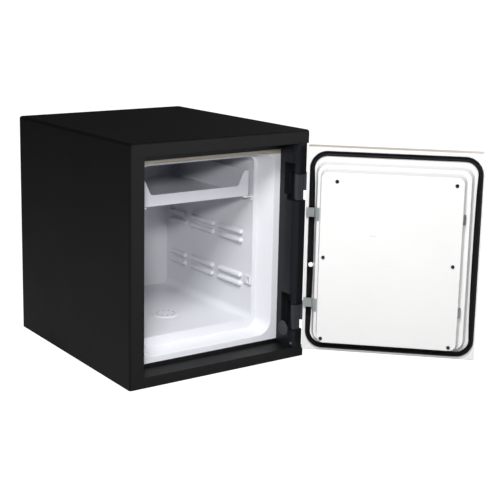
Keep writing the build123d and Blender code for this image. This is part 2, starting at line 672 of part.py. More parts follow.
def make_tray_runners():
    return Compound(children=[runner(1), runner(-1)])


def make_shelf_clips():
    """Slotted bosses just inside the mouth, one on each wall, for a lower shelf."""
    z = RIB_ROWS[0] + 4.5
    front = MOUTH_BACK_Y + 1.5
    clips = []
    for wall, proud in ((CAVITY_FRONT[1], -CLIP_PROUD), (CAVITY_FRONT[0], CLIP_PROUD)):
        x0 = min(wall + proud, wall - proud)
        x1 = max(wall + proud, wall - proud)
        clip = block(x0, x1, front, front + CLIP_LENGTH, z - CLIP_HEIGHT / 2, z + CLIP_HEIGHT / 2)
        clip -= block(x0 - 1, x1 + 1, front + 3, front + 8, z - CLIP_HEIGHT / 2 + 3,
                      z + CLIP_HEIGHT / 2 - 3)
        clips.append(clip & cavity_space(-WALL_SEAT))
    return Compound(children=clips)


# ---- door ----------------------------------------------------------------------
DOOR_RECT = (DOOR_X0, DOOR_X1, DOOR_Z0, DOOR_Z1)
FASCIA_RECT = grow(DOOR_RECT, -FASCIA_INSET)
TIER1_FOOT = (MOUTH_FRONT[0] + 1, MOUTH_FRONT[1] - 4, MOUTH_FRONT[2] + 2,
              MOUTH_FRONT[3] - PLUG_TOP_GAP)
TIER1_TOP = (TIER1_FOOT[0] + TIER_DRAFT, TIER1_FOOT[1] - TIER_DRAFT,
             TIER1_FOOT[2] + TIER_DRAFT, TIER1_FOOT[3] - TIER_DRAFT)
TIER2_FOOT = (TIER1_TOP[0] + 7.5, TIER1_TOP[1] - 5, TIER1_TOP[2] + 2, TIER1_TOP[3] - 5)
TIER2_TOP = (TIER2_FOOT[0] + TIER_DRAFT, TIER2_FOOT[1] - TIER_DRAFT + 2,
             TIER2_FOOT[2] + 2, TIER2_FOOT[3] - TIER_DRAFT)


def tier_solid(inset, drop):
    """The raised plug of the inner panel, or the hollow inside it."""
    lower = tapered(FLANGE_Y - 0.5 - drop, grow(TIER1_FOOT, -inset), 22,
                    LEDGE_Y - drop, grow(TIER1_TOP, -inset), 18)
    upper = tapered(LEDGE_Y - 0.5 - drop, grow(TIER2_FOOT, -inset), 16,
                    PANEL_TOP_Y - drop, grow(TIER2_TOP, -inset), 12)
    return lower + upper


def bolt_hole(z):
    half = BOLT_SIZE_Z / 2 + 1
    return block(TIER2_FOOT[0] - 4, TIER2_TOP[0] + 8, BOLT_Y - 1, BOLT_Y + BOLT_SIZE_Y + 1,
                 z - half, z + half)


PANEL_SCREWS = (
    (TIER2_TOP[0] + 13, TIER2_TOP[2] + 6), (TIER2_TOP[1] - 7.5, TIER2_TOP[2] + 7.5),
    (TIER2_TOP[0] + 13, SPINDLE_Z + 2), (TIER2_TOP[1] - 7.5, SPINDLE_Z + 6),
    (TIER2_TOP[0] + 13, TIER2_TOP[3] - 14), (TIER2_TOP[1] - 28, TIER2_TOP[3] - 16),
)


def make_inner_panel():
    panel = straight(SHELL_BACK_Y, FLANGE_Y, DOOR_RECT, 3) + tier_solid(0, 0)
    panel -= tier_solid(PANEL_WALL, PANEL_WALL)
    panel -= straight(SHELL_BACK_Y - 2, SHELL_BACK_Y + 1, grow(TIER1_FOOT, -PANEL_WALL), 20)
    for z in BOLT_HEIGHTS:
        panel -= bolt_hole(z)
    for x, z in PANEL_SCREWS:
        panel -= rod_y(x, z, SCREW_RADIUS, PANEL_TOP_Y - 4, PANEL_TOP_Y + 1)
    return panel


def make_panel_screws():
    screws = []
    for x, z in PANEL_SCREWS:
        head = rod_y(x, z, 3.2, PANEL_TOP_Y, PANEL_TOP_Y + 1.4)
        head -= block(x - 2, x + 2, PANEL_TOP_Y + 0.8, PANEL_TOP_Y + 2, z - 0.4, z + 0.4)
        head -= block(x - 0.4, x + 0.4, PANEL_TOP_Y + 0.8, PANEL_TOP_Y + 2, z - 2, z + 2)
        screws.append(head + rod_y(x, z, SCREW_RADIUS, PLATE_Y, PANEL_TOP_Y))
    return Compound(children=screws)


SPINDLE_HOLE = SPINDLE_RADIUS + 1
STANDOFFS = ((85.0, 66.0), (300.0, 66.0), (85.0, 336.0), (300.0, 336.0))


def make_door_shell():
    shell = straight(FASCIA_THICK, SHELL_BACK_Y, DOOR_RECT, 3)
    shell -= straight(FASCIA_THICK + SHEET, SHELL_BACK_Y - SHEET, grow(DOOR_RECT, -SHEET), 2)
    shell -= straight(SHELL_BACK_Y - SHEET - 1, SHELL_BACK_Y + 1,
                      grow(DOOR_RECT, -SHEET - PANEL_LIP), 10)
    shell -= rod_y(SPINDLE_X, SPINDLE_Z, SPINDLE_HOLE, 0, FLANGE_Y)
    shell -= rod_y(LOCK_X, LOCK_Z, LOCK_RADIUS, 0, FASCIA_THICK + 5)
    return shell


def make_door_insulation():
    front = FASCIA_THICK + SHEET
    fill = straight(front, SHELL_BACK_Y - SHEET, grow(DOOR_RECT, -SHEET - 1), 2)
    fill += straight(SHELL_BACK_Y - SHEET - 1, PLATE_Y, grow(TIER1_TOP, -PANEL_WALL - 1), 14)
    fill -= rod_y(SPINDLE_X, SPINDLE_Z, SPINDLE_HOLE, 0, PLATE_Y + 1)
    fill -= rod_y(LOCK_X, LOCK_Z, LOCK_RADIUS + 1, 0, front + 12)
    for x, z in STANDOFFS:
        fill -= rod_y(x, z, 5, 0, PLATE_Y + 1)
    return fill


def make_door_fascia():
    cover = straight(0, FASCIA_THICK, FASCIA_RECT, 10)
    cover = fillet(cover.faces().sort_by(Axis.Y)[0].edges(), FASCIA_ROUND)
    cover -= straight(FASCIA_WALL, FASCIA_THICK + 1, grow(FASCIA_RECT, -FASCIA_ROUND), 6)
    tub = TUB_WIDTH / 2
    cover -= block(KEYPAD_X - tub, KEYPAD_X + tub, -1, FASCIA_THICK,
                   TUB_Z0, TUB_Z1)
    cover -= rod_y(SPINDLE_X, SPINDLE_Z, SPINDLE_HOLE, -1, FASCIA_THICK)
    cover -= rod_y(LOCK_X, LOCK_Z, LOCK_RADIUS, -1, FASCIA_THICK)
    return cover


CLIP_HEIGHTS = (111.5, 280.5)


def clip_outline(gap, thick):
    """Plan of a panel clip: over the gasket, up the plug's side and onto the ledge."""
    tongue = FLANGE_Y + 3.2
    side = TIER1_FOOT[1]
    ledge = LEDGE_Y + gap
    return [
        (DOOR_X1 - 1, tongue), (side - 0.4, tongue), (TIER1_TOP[1] + 0.4, ledge),
        (TIER2_FOOT[1] + 0.6, ledge), (TIER2_FOOT[1] + 0.6, ledge + thick),
        (TIER1_TOP[1] + 1.6, ledge + thick), (side + 1.2, tongue + thick),
        (DOOR_X1 - 1, tongue + thick),
    ]


def make_panel_clips():
    clips = []
    for z in CLIP_HEIGHTS:
        half = BOLT_SIZE_Z / 2
        clip = plan_shape(clip_outline(0.1, 1.5), z - half, z + half)
        ear = block(TIER2_FOOT[1] + 0.6, TIER1_TOP[1] + 1.6, LEDGE_Y + 0.1, LEDGE_Y + 1.6,
                    z - half - 3, z + half + 3)
        clips.append(clip + ear)
    return Compound(children=clips)


def make_clip_screws():
    screws = []
    x = (TIER2_FOOT[1] + TIER1_TOP[1]) / 2 + 1
    for z in CLIP_HEIGHTS:
        screws.append(rod_y(x, z - BOLT_SIZE_Z / 2 - 0.4, 2, LEDGE_Y + 1.6, LEDGE_Y + 2.8))
    return Compound(children=screws)


STUD_X = DOOR_X1 - 12.5
STUD_Z = 182.5


def make_door_gasket():
    rect = (DOOR_X0 + GASKET_MARGIN_SIDE - 3, DOOR_X1 - GASKET_MARGIN_SIDE,
            OPEN_Z0 + SILL_LIP + GASKET_SILL_GAP, DOOR_Z1 - GASKET_MARGIN_TOP)
    top = JAMB_DEPTH - 0.3
    ring = straight(FLANGE_Y, top, rect, GASKET_ROUND)
    ring -= straight(FLANGE_Y - 1, top + 1, grow(rect, -GASKET_WIDTH), GASKET_ROUND - GASKET_WIDTH)
    ring = fillet(ring.faces().sort_by(Axis.Y)[-1].edges(), 2.5)
    for z in CLIP_HEIGHTS:
        half = BOLT_SIZE_Z / 2 + 0.4
        ring -= block(DOOR_X1 - 20, DOOR_X1, FLANGE_Y + 2.9, top + 1, z - half, z + half)
    return ring - rod_y(STUD_X, STUD_Z, 4.8, FLANGE_Y - 1, top + 1)


def make_locating_stud():
    stud = rod_y(STUD_X, STUD_Z, 4.5, FLANGE_Y, JAMB_DEPTH - 0.9)
    return fillet(stud.faces().sort_by(Axis.Y)[-1].edges(), 1.5)


# ---- boltwork ------------------------------------------------------------------
PLATE_TOP_Y = PLATE_Y + PLATE_THICK
CRANK_LEAN = radians(HANDLE_TURN / 2)
CRANK_PIN_X = SPINDLE_X + CRANK_RADIUS * sin(CRANK_LEAN)
CRANK_PIN_Z = SPINDLE_Z + CRANK_RADIUS * cos(CRANK_LEAN)
CARRIAGE_X0 = CRANK_PIN_X - 13
CARRIAGE_X1 = CARRIAGE_X0 + CARRIAGE_WIDTH
CARRIAGE_Y = BOLT_Y - CARRIAGE_THICK
CARRIAGE_TOP = BOLT_HEIGHTS[1] + BOLT_SIZE_Z / 2 + 6.5
TAB_TOP = CARRIAGE_TOP + 12
STUD_START = CARRIAGE_X1 + 8
GUIDE_HEIGHTS = (BOLT_HEIGHTS[0] + 30, BOLT_HEIGHTS[1] - 30)


def make_mechanism_plate():
    plate = straight(PLATE_Y, PLATE_TOP_Y, grow(TIER1_TOP, -12), 14)
    plate -= rod_y(SPINDLE_X, SPINDLE_Z, SPINDLE_RADIUS + FIT, PLATE_Y - 1, PLATE_TOP_Y + 1)
    for x, z in PANEL_SCREWS:
        plate -= rod_y(x, z, SCREW_RADIUS, PLATE_Y - 1, PLATE_TOP_Y + 1)
    return plate


def make_plate_standoffs():
    return Compound(children=[rod_y(x, z, 5, FASCIA_THICK + SHEET, PLATE_Y) for x, z in STANDOFFS])


def make_bolt_carriage():
    bar = block(CARRIAGE_X0, CARRIAGE_X1, CARRIAGE_Y, BOLT_Y,
                BOLT_HEIGHTS[0] - BOLT_SIZE_Z / 2 - 6, CARRIAGE_TOP)
    bar += block(PLUNGER_X - 6, CARRIAGE_X1, CARRIAGE_Y, BOLT_Y, CARRIAGE_TOP - 0.5, TAB_TOP)
    for z in GUIDE_HEIGHTS:
        bar += block(CARRIAGE_X1 - 1, STUD_START + BOLT_THROW + 8, CARRIAGE_Y, BOLT_Y, z - 9, z + 9)
        slot = block(STUD_START, STUD_START + BOLT_THROW, CARRIAGE_Y - 1, BOLT_Y + 1,
                     z - 3 - SLOT_CLEARANCE, z + 3 + SLOT_CLEARANCE)
        slot += rod_y(STUD_START, z, 3 + SLOT_CLEARANCE, CARRIAGE_Y - 1, BOLT_Y + 1)
        slot += rod_y(STUD_START + BOLT_THROW, z, 3 + SLOT_CLEARANCE, CARRIAGE_Y - 1, BOLT_Y + 1)
        bar -= slot
    half = CRANK_PIN_RADIUS + SLOT_CLEARANCE
    bar -= block(CRANK_PIN_X - half, CRANK_PIN_X + half, CARRIAGE_Y - 1, BOLT_Y + 1,
                 CRANK_PIN_Z - half, SPINDLE_Z + CRANK_RADIUS + half)
    notch = PLUNGER_X + BOLT_THROW
    bar -= block(notch - PLUNGER_RADIUS - 1, notch + PLUNGER_RADIUS + 1, CARRIAGE_Y - 1, BOLT_Y + 1,
                 TAB_TOP - 7, TAB_TOP + 1)
    return bar


def make_live_bolts():
    bolts = []
    for z in BOLT_HEIGHTS:
        bolt = block(BOLT_TIP_X, BOLT_TIP_X + BOLT_LENGTH, BOLT_Y, BOLT_Y + BOLT_SIZE_Y,
                     z - BOLT_SIZE_Z / 2, z + BOLT_SIZE_Z / 2)
        bevel = plan_shape([(BOLT_TIP_X - 1, BOLT_Y + BOLT_SIZE_Y + 1), (BOLT_TIP_X - 1, BOLT_Y + 4),
                            (BOLT_TIP_X, BOLT_Y + 4),
                            (BOLT_TIP_X + BOLT_BEVEL, BOLT_Y + BOLT_SIZE_Y + 1)],
                           z - BOLT_SIZE_Z, z + BOLT_SIZE_Z)
        bolts.append(bolt - bevel)
    return Compound(children=bolts)


def make_bolt_guides():
    guides = []
    x0 = TIER2_TOP[0] + PANEL_WALL + 1.5
    for z in BOLT_HEIGHTS:
        half = BOLT_SIZE_Z / 2
        guide = block(x0, x0 + 8, PLATE_TOP_Y, PANEL_TOP_Y - PANEL_WALL - 0.3, z - half - 5, z + half + 5)
        guide -= block(x0 - 1, x0 + 9, BOLT_Y - SLIDE_CLEARANCE, BOLT_Y + BOLT_SIZE_Y + SLIDE_CLEARANCE,
                       z - half - SLIDE_CLEARANCE, z + half + SLIDE_CLEARANCE)
        guides.append(guide)
    return Compound(children=guides)


def make_guide_studs():
    studs = []
    for z in GUIDE_HEIGHTS:
        stud = rod_y(STUD_START, z, 3, PLATE_TOP_Y, BOLT_Y + 2.3)
        stud += rod_y(STUD_START, z, 5, PLATE_TOP_Y, CARRIAGE_Y - 0.3)
        stud += rod_y(STUD_START, z, 6, BOLT_Y + 0.3, BOLT_Y + 2.3)
        studs.append(stud)
    return Compound(children=studs)


SOLENOID_Z0 = TAB_TOP + 9
SOLENOID_HALF = 9.0
PLUNGER_Y = CARRIAGE_Y + CARRIAGE_THICK / 2


def make_solenoid_body():
    body = block(PLUNGER_X - 11, PLUNGER_X + 11, PLATE_TOP_Y, PLUNGER_Y + SOLENOID_HALF,
                 SOLENOID_Z0, SOLENOID_Z0 + 26)
    return body - rod_z(PLUNGER_X, PLUNGER_Y, PLUNGER_RADIUS + FIT, SOLENOID_Z0 - 1, SOLENOID_Z0 + 22)


def make_solenoid_plunger():
    plunger = rod_z(PLUNGER_X, PLUNGER_Y, PLUNGER_RADIUS, TAB_TOP + 0.3, SOLENOID_Z0 + 16)
    return chamfer(plunger.faces().sort_by(Axis.Z)[0].edges(), 0.6)


def make_spindle():
    return rod_y(SPINDLE_X, SPINDLE_Z, SPINDLE_RADIUS, -HANDLE_STAND_OFF - 6, PLATE_TOP_Y + 3.5)


def make_crank():
    y0 = PLATE_TOP_Y + 0.5
    arm = link_bar(SPINDLE_X, SPINDLE_Z, 10, CRANK_PIN_X, CRANK_PIN_Z, 6.5, y0, y0 + 3)
    arm += rod_y(CRANK_PIN_X, CRANK_PIN_Z, CRANK_PIN_RADIUS, y0 + 2, BOLT_Y + 1)
    return arm - rod_y(SPINDLE_X, SPINDLE_Z, SPINDLE_RADIUS, y0 - 1, y0 + 4)


# ---- outside controls ----------------------------------------------------------
TUB_Z0 = KEYPAD_BOTTOM + 6
TUB_Z1 = KEYPAD_BOTTOM + KEYPAD_HEIGHT - 4
DIVIDER_Z = TUB_Z0 + 62
FACE_Y = -KEYPAD_PROUD
KEY_ROWS = ("123", "456", "789", "c0e")
COVER_HALF = TUB_WIDTH / 2 - 4


def make_handle():
    back = -HANDLE_STAND_OFF
    front = back - HANDLE_THICK
    lean = radians(-HANDLE_TURN)
    end_x = SPINDLE_X + HANDLE_LENGTH * cos(lean)
    end_z = SPINDLE_Z + HANDLE_LENGTH * sin(lean)
    lever = link_bar(SPINDLE_X, SPINDLE_Z, 15, end_x, end_z, 9, front, back)
    lever = fillet(lever.faces().sort_by(Axis.Y)[0].edges(), 4)
    hub = rod_y(SPINDLE_X, SPINDLE_Z, 14, back - 1, -3.3)
    return lever + hub - rod_y(SPINDLE_X, SPINDLE_Z, SPINDLE_RADIUS, back - 6, 0)


def make_handle_rose():
    rose = rod_y(SPINDLE_X, SPINDLE_Z, 22, -3, 0)
    rose = fillet(rose.faces().sort_by(Axis.Y)[0].edges(), 1.5)
    rose += rod_y(SPINDLE_X, SPINDLE_Z, SPINDLE_HOLE, 0, FASCIA_THICK)
    return rose - rod_y(SPINDLE_X, SPINDLE_Z, SPINDLE_RADIUS + FIT, -4, FASCIA_THICK + 1)


def key_places():
    places = []
    for row, labels in enumerate(KEY_ROWS):
        for column, label in enumerate(labels):
            x = KEYPAD_X + (column - 1) * KEY_PITCH_X
            places.append((label, x, KEY_TOP_ROW_Z - row * KEY_PITCH_Z))
    return places


def make_keypad_housing():
    half = KEYPAD_WIDTH / 2
    tub = TUB_WIDTH / 2
    top = KEYPAD_BOTTOM + KEYPAD_HEIGHT
    housing = straight(FACE_Y, 0, (KEYPAD_X - half, KEYPAD_X + half, KEYPAD_BOTTOM, top), 10)
    housing = fillet(housing.faces().sort_by(Axis.Y)[0].edges(), 3)
    housing += block(KEYPAD_X - tub, KEYPAD_X + tub, -1, TUB_DEPTH, TUB_Z0, TUB_Z1)
    inner = tub - TUB_WALL
    front = FACE_Y + TUB_WALL
    housing -= block(KEYPAD_X - inner, KEYPAD_X + inner, front, TUB_DEPTH - TUB_WALL,
                     TUB_Z0 + TUB_WALL, DIVIDER_Z)
    housing -= block(KEYPAD_X - inner, KEYPAD_X + inner, front, TUB_DEPTH - TUB_WALL,
                     DIVIDER_Z + TUB_WALL, TUB_Z1 - TUB_WALL)
    housing -= block(KEYPAD_X - COVER_HALF, KEYPAD_X + COVER_HALF, FACE_Y - 1,
                     FACE_Y + COVER_THICK, KEYPAD_BOTTOM - 1, DIVIDER_Z)
    housing -= block(KEYPAD_X - COVER_HALF + 4, KEYPAD_X + COVER_HALF - 4, FACE_Y - 1, front + 1,
                     TUB_Z0 + TUB_WALL, DIVIDER_Z - 4)
    for _, x, z in key_places():
        dx = KEY_WIDTH / 2 + KEY_CLEARANCE
        dz = KEY_HEIGHT / 2 + KEY_CLEARANCE
        housing -= block(x - dx, x + dx, FACE_Y - 1, front + 1, z - dz, z + dz)
    return housing - rod_y(KEYPAD_X, TUB_Z1, 2, FACE_Y - 1, front)


def make_key(x, z):
    front = FACE_Y + TUB_WALL
    rect = (x - KEY_WIDTH / 2, x + KEY_WIDTH / 2, z - KEY_HEIGHT / 2, z + KEY_HEIGHT / 2)
    cap = straight(FACE_Y - 1.6, front + 0.4, rect, 1.5)
    cap = fillet(cap.faces().sort_by(Axis.Y)[0].edges(), 0.6)
    return cap + straight(front + KEY_CLEARANCE, front + 1.8, grow(rect, 1), 1)


def make_keypad_membrane():
    half = TUB_WIDTH / 2 - TUB_WALL - 0.5
    return block(KEYPAD_X - half, KEYPAD_X + half, -3.2, -1.7,
                 DIVIDER_Z + TUB_WALL + 0.5, TUB_Z1 - TUB_WALL - 0.5)


def make_circuit_board():
    half = TUB_WIDTH / 2 - TUB_WALL - 0.2
    board = block(KEYPAD_X - half, KEYPAD_X + half, -1.7, -0.1,
                  DIVIDER_Z + TUB_WALL + 0.2, TUB_Z1 - TUB_WALL - 0.2)
    return board + block(KEYPAD_X - 10, KEYPAD_X + 10, -0.2, 5, DIVIDER_Z + 14, DIVIDER_Z + 34)


def make_indicator_lens():
    lens = rod_y(KEYPAD_X, TUB_Z1, 2, FACE_Y - 0.6, FACE_Y + TUB_WALL)
    return fillet(lens.faces().sort_by(Axis.Y)[0].edges(), 0.5)


def cell_places():
    return [KEYPAD_X + CELL_PITCH * (step - 1.5) for step in range(4)]


CELL_Y = 1.5
CELL_Z0 = TUB_Z0 + TUB_WALL + 2


def make_batteries():
    cells = []
    for x in cell_places():
        cell = rod_z(x, CELL_Y, CELL_RADIUS, CELL_Z0, CELL_Z0 + CELL_LENGTH - 1.5)
        cells.append(cell + rod_z(x, CELL_Y, 2.7, CELL_Z0 + CELL_LENGTH - 2, CELL_Z0 + CELL_LENGTH))
    return Compound(children=cells)


def make_battery_holder():
    half = TUB_WIDTH / 2 - TUB_WALL - 0.5
    holder = block(KEYPAD_X - half, KEYPAD_X + half, CELL_Y, TUB_DEPTH - TUB_WALL,
                   TUB_Z0 + TUB_WALL, CELL_Z0 + CELL_LENGTH + 2)
    for x in cell_places():
        holder -= rod_z(x, CELL_Y, CELL_RADIUS + 0.1, CELL_Z0 - 0.1, CELL_Z0 + CELL_LENGTH + 0.1)
    return holder


def make_battery_cover():
    half = COVER_HALF - 0.3
    cover = block(KEYPAD_X - half, KEYPAD_X + half, FACE_Y, FACE_Y + COVER_THICK - 0.3,
                  KEYPAD_BOTTOM, DIVIDER_Z - 0.3)
    for step in range(3):
        z = KEYPAD_BOTTOM + 8 + 3 * step
        cover += block(KEYPAD_X - 12, KEYPAD_X + 12, FACE_Y - 0.8, FACE_Y, z, z + 1.2)
    return cover


def make_lock_cylinder():
    body = rod_y(LOCK_X, LOCK_Z, LOCK_RADIUS, 0, FASCIA_THICK + SHEET + 10)
    collar_ring = rod_y(LOCK_X, LOCK_Z, LOCK_RADIUS + 4, -3, 0)
    body += fillet(collar_ring.faces().sort_by(Axis.Y)[0].edges(), 1.5)
    return body - rod_y(LOCK_X, LOCK_Z, LOCK_PLUG_RADIUS + FIT, -4, FASCIA_THICK + SHEET + 11)


def make_key_plug():
    plug = rod_y(LOCK_X, LOCK_Z, LOCK_PLUG_RADIUS, -3.4, FASCIA_THICK + SHEET + 10)
    return plug - block(LOCK_X - 0.9, LOCK_X + 0.9, -4, 20, LOCK_Z - 4, LOCK_Z + 4)


# ---- assembly ------------------------------------------------------------------
def fixed_pieces():
    return {
        "outer_casing": make_outer_casing(),
        "base_plate": make_base_plate(),
        "back_panel": make_back_panel(),
        "body_insulation": make_body_insulation(),
        "inner_liner": make_inner_liner(),
        "strike_boxes": make_strike_boxes(),
        "hinge_post": make_hinge_post(),
        "hinge_pins": make_hinge_pins(),
        "post_screw": make_post_screw(),
        "jamb_cap": make_jamb_cap(),
        "anchor_cap": make_anchor_cap(),
        "tray": make_tray(),
        "tray_runners": make_tray_runners(),
        "shelf_clips": make_shelf_clips(),
    }


def door_pieces():
    pieces = {
        "door_shell": make_door_shell(),
        "door_insulation": make_door_insulation(),
        "door_fascia": make_door_fascia(),
        "inner_panel": make_inner_panel(),
        "panel_screws": make_panel_screws(),
        "door_gasket": make_door_gasket(),
        "panel_clips": make_panel_clips(),
        "clip_screws": make_clip_screws(),
        "locating_stud": make_locating_stud(),
        "hinge_knuckles": make_hinge_knuckles(),
        "mechanism_plate": make_mechanism_plate(),
        "plate_standoffs": make_plate_standoffs(),
        "bolt_carriage": make_bolt_carriage(),
        "live_bolts": make_live_bolts(),
        "bolt_guides": make_bolt_guides(),
        "guide_studs": make_guide_studs(),
        "solenoid_body": make_solenoid_body(),
        "solenoid_plunger": make_solenoid_plunger(),
        "spindle": make_spindle(),
        "crank": make_crank(),
        "handle": make_handle(),
        "handle_rose": make_handle_rose(),
        "keypad_housing": make_keypad_housing(),
        "keypad_membrane": make_keypad_membrane(),
        "circuit_board": make_circuit_board(),
        "indicator_lens": make_indicator_lens(),
        "batteries": make_batteries(),
        "battery_holder": make_battery_holder(),
        "battery_cover": make_battery_cover(),
        "lock_cylinder": make_lock_cylinder(),
        "key_plug": make_key_plug(),
    }
    names = {"c": "key_clear", "e": "key_enter"}
    for label, x, z in key_places():
        pieces[names.get(label, "key_" + label)] = make_key(x, z)
    return pieces


def main():
    os.makedirs("parts", exist_ok=True)
    to_row = Pos(-BODY_WIDTH / 2, -BODY_DEPTH / 2, 0)
    swing = Pos(PIVOT_X, PIVOT_Y, 0) * Rot(0, 0, REST_OPEN_ANGLE) * Pos(-PIVOT_X, -PIVOT_Y, 0)
    for name, piece in fixed_pieces().items():
        export_step(to_row * piece, "parts/" + name + ".step")
    for name, piece in door_pieces().items():
        export_step(to_row * swing * piece, "parts/" + name + ".step")


main()
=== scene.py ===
import json
import math

import bmesh
import bpy
from mathutils import Matrix, Vector


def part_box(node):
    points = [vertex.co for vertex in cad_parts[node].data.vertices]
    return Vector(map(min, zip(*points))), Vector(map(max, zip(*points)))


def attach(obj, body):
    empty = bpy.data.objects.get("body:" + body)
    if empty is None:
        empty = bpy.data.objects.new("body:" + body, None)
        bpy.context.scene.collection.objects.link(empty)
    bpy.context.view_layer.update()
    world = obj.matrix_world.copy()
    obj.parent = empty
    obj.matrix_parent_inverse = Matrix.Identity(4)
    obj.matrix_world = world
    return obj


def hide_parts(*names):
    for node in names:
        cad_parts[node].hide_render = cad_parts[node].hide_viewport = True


bl_info = {
    "name": "In-Room Safe Dresser",
    "version": (1, 0, 0),
    "blender": (4, 5, 0),
    "location": "View3D > Sidebar > Safe",
    "description": "Dresses a packed in-room safe in its paint, plastics and seal",
    "category": "Object",
}

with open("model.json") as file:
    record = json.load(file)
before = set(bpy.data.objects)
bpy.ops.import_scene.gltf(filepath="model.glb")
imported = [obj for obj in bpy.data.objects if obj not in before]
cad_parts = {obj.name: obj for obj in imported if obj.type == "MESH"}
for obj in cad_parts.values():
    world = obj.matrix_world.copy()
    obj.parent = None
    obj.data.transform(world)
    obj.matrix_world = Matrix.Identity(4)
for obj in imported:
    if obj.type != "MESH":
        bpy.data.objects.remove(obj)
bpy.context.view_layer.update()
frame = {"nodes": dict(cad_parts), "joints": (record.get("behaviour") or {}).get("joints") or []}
HINGE = next(joint for joint in frame["joints"] if joint["name"] == "door_hinge")
PIVOT = Vector(HINGE["pos_m"])
OPEN_ANGLE = -math.radians(HINGE["range_deg"][0])
TO_OPEN = (Matrix.Translation(PIVOT) @ Matrix.Rotation(OPEN_ANGLE, 4, "Z")
           @ Matrix.Translation(-PIVOT))
TO_CLOSED = TO_OPEN.inverted()

# ---- sizes in metres, and the studio ---------------------------------------------
PAINTED_SHADE_BAND = 0.0095           # height of the tan strip of painted shade at the head of the liner's mouth, under the casing's head
PAINTED_SHADE_FADE = 0.0025

PLUG_COUNT = 10             # dark plugs in a ring on the anchor's cap
PLUG_RING = 0.017
PLUG_FOOT = 0.0015
PLUG_TOP = 0.0012
PLUG_DEPTH = 0.0010
PLUG_SINK = 0.0002
CAP_THICKNESS = 0.002
CAP_LIFT = 0.0009           # from the middle of the sloping cap to its face

GATE_ALONG = 0.006          # the moulding gate's mark, from the panel's middle and foot
GATE_RISE = 0.182
DASH_ALONG = (0.029, 0.033, 0.037)
DASH_RISE = 0.229

# The seal's section, in points (outwards, upwards). The heel and the toe are measured
# from the seal's base, and the crown between them from its top.
SEAL_HEEL = ((0, 0), (0, 0.0024), (-0.0008, 0.0041))
SEAL_CROWN = ((-0.0021, -0.0002), (-0.0036, 0), (-0.0050, -0.0003),
              (-0.0060, -0.0014))
SEAL_TOE = ((-0.0064, 0.0026), (-0.0070, 0.0020), (-0.0083, 0.0030),
            (-0.009, 0.0022), (-0.009, 0))
SEAL_CORNER = 0.032
SEAL_CORNER_STEPS = 14
SEAL_RUN = 0.02             # no upright run reaches further in than this
SEAL_UNDER_CLIP = 0.0026    # height of the seal where a clip presses on it
SEAL_UNDER_STUD = 0.0002
SEAL_DIP_RAMP = 0.0006      # length of the slope at each end of such a dip
CLIP_REACH = 0.0105         # half of a clip's width, with room to spare
STUD_MARGIN = 0.0008
SWELL = 0.0024              # what the upright runs gain in width at mid-height
SWELL_ENDS = 0.034          # the runs keep their width this close to the corners
SWELL_INSET = 0.0030        # the outer edge, up to here, stays where it is
SWELL_STEPS = 12
LEVEL_TOLERANCE = 1e-5

LEGEND_HEIGHT = 0.0075
LEGEND_RISE = 0.00008

FLOOR_REACH = 30.0
FLOOR_DROP = 0.0005
WHITE_GLOW = 1.1            # strength at which floor and surroundings look white
FLOOR_BOUNCE = (0.3, 0.3, 0.3)  # colour that the floor has for the light it sends back

CAMERA_PLACE = (-1.1630, -1.9232, 0.7296)
CAMERA_AZIMUTH = -34.89     # degrees
CAMERA_ELEVATION = 12.16
CAMERA_ROLL = 1.10
CAMERA_SHIFT = (0.0292, -0.0654)

# Name, place, aim, width, power setting, and whether glossy paint mirrors it.
LIGHTS = (
    ("key_light", (-0.92, -1.45, 0.86), (0.0, 0.0, 0.2), 0.18, "key_power", False),
    ("high_light", (-0.95, -1.3, 1.9), (0.0, 0.0, 0.2), 0.7, "high_power", False),
    ("fill_light", (0.9, -2.3, 0.4), (0.0, 0.0, 0.2), 1.6, "fill_power", True),
    ("side_light", (2.3, 0.5, 1.1), (0.1, 0.0, 0.2), 1.4, "back_power", True),
    ("back_light", (0.1, 2.2, 2.1), (0.0, 0.2, 0.2), 0.8, "back_power", False),
)

# ---- colours of the pieces without a setting in the sidebar ----------------------
POST_BLACK = (0.0068, 0.0074, 0.0092)
KNUCKLE_BLACK = (0.030, 0.032, 0.037)
PIN_ZINC = (0.62, 0.63, 0.64)
FILLING_GREY = (0.62, 0.61, 0.57)
SPECK_BLACK = (0.05, 0.05, 0.055)
# tan of the painted shade on the head of the liner's mouth, where the casing's head shades it
PAINTED_SHADE_TAN = (0.30, 0.265, 0.215)
TRAY_GREY = (0.585, 0.60, 0.65)
SHELL_BEIGE = (0.60, 0.55, 0.47)
COVER_BLACK = (0.02, 0.02, 0.022)
CLIP_ZINC = (0.80, 0.85, 0.85)
# near-black screw colour: painted shade for the recesses that the screws sit in
SCREW_SHADE_DARK = (0.10, 0.105, 0.13)
STUD_WHITE = (0.85, 0.84, 0.80)
BOLTWORK_ZINC = (0.62, 0.63, 0.62)
BOLT_STEEL = (0.72, 0.73, 0.74)
GUIDE_WHITE = (0.82, 0.81, 0.77)
SATIN_CHROME = (0.74, 0.75, 0.77)
KEYPAD_BLACK = (0.012, 0.012, 0.014)
KEY_BLACK = (0.05, 0.052, 0.058)
LEGEND_WHITE = (0.80, 0.80, 0.78)
BOARD_GREEN = (0.02, 0.13, 0.06)
LENS_GREEN = (0.05, 0.35, 0.12)
CELL_GREY = (0.30, 0.31, 0.33)
HOLDER_BLACK = (0.03, 0.03, 0.032)
SEEN_WHITE = (1.0, 1.0, 1.0)
ROOM_BLUE = (0.94, 0.96, 1.0)

KEY_LEGENDS = {"key_%d" % number: str(number) for number in range(10)}
KEY_LEGENDS.update({"key_clear": "*", "key_enter": "#"})

# The Mix node's sockets share their names, so those for colours go by number.
MIX_FACTOR, MIX_FIRST, MIX_SECOND, MIX_RESULT = 0, 6, 7, 2


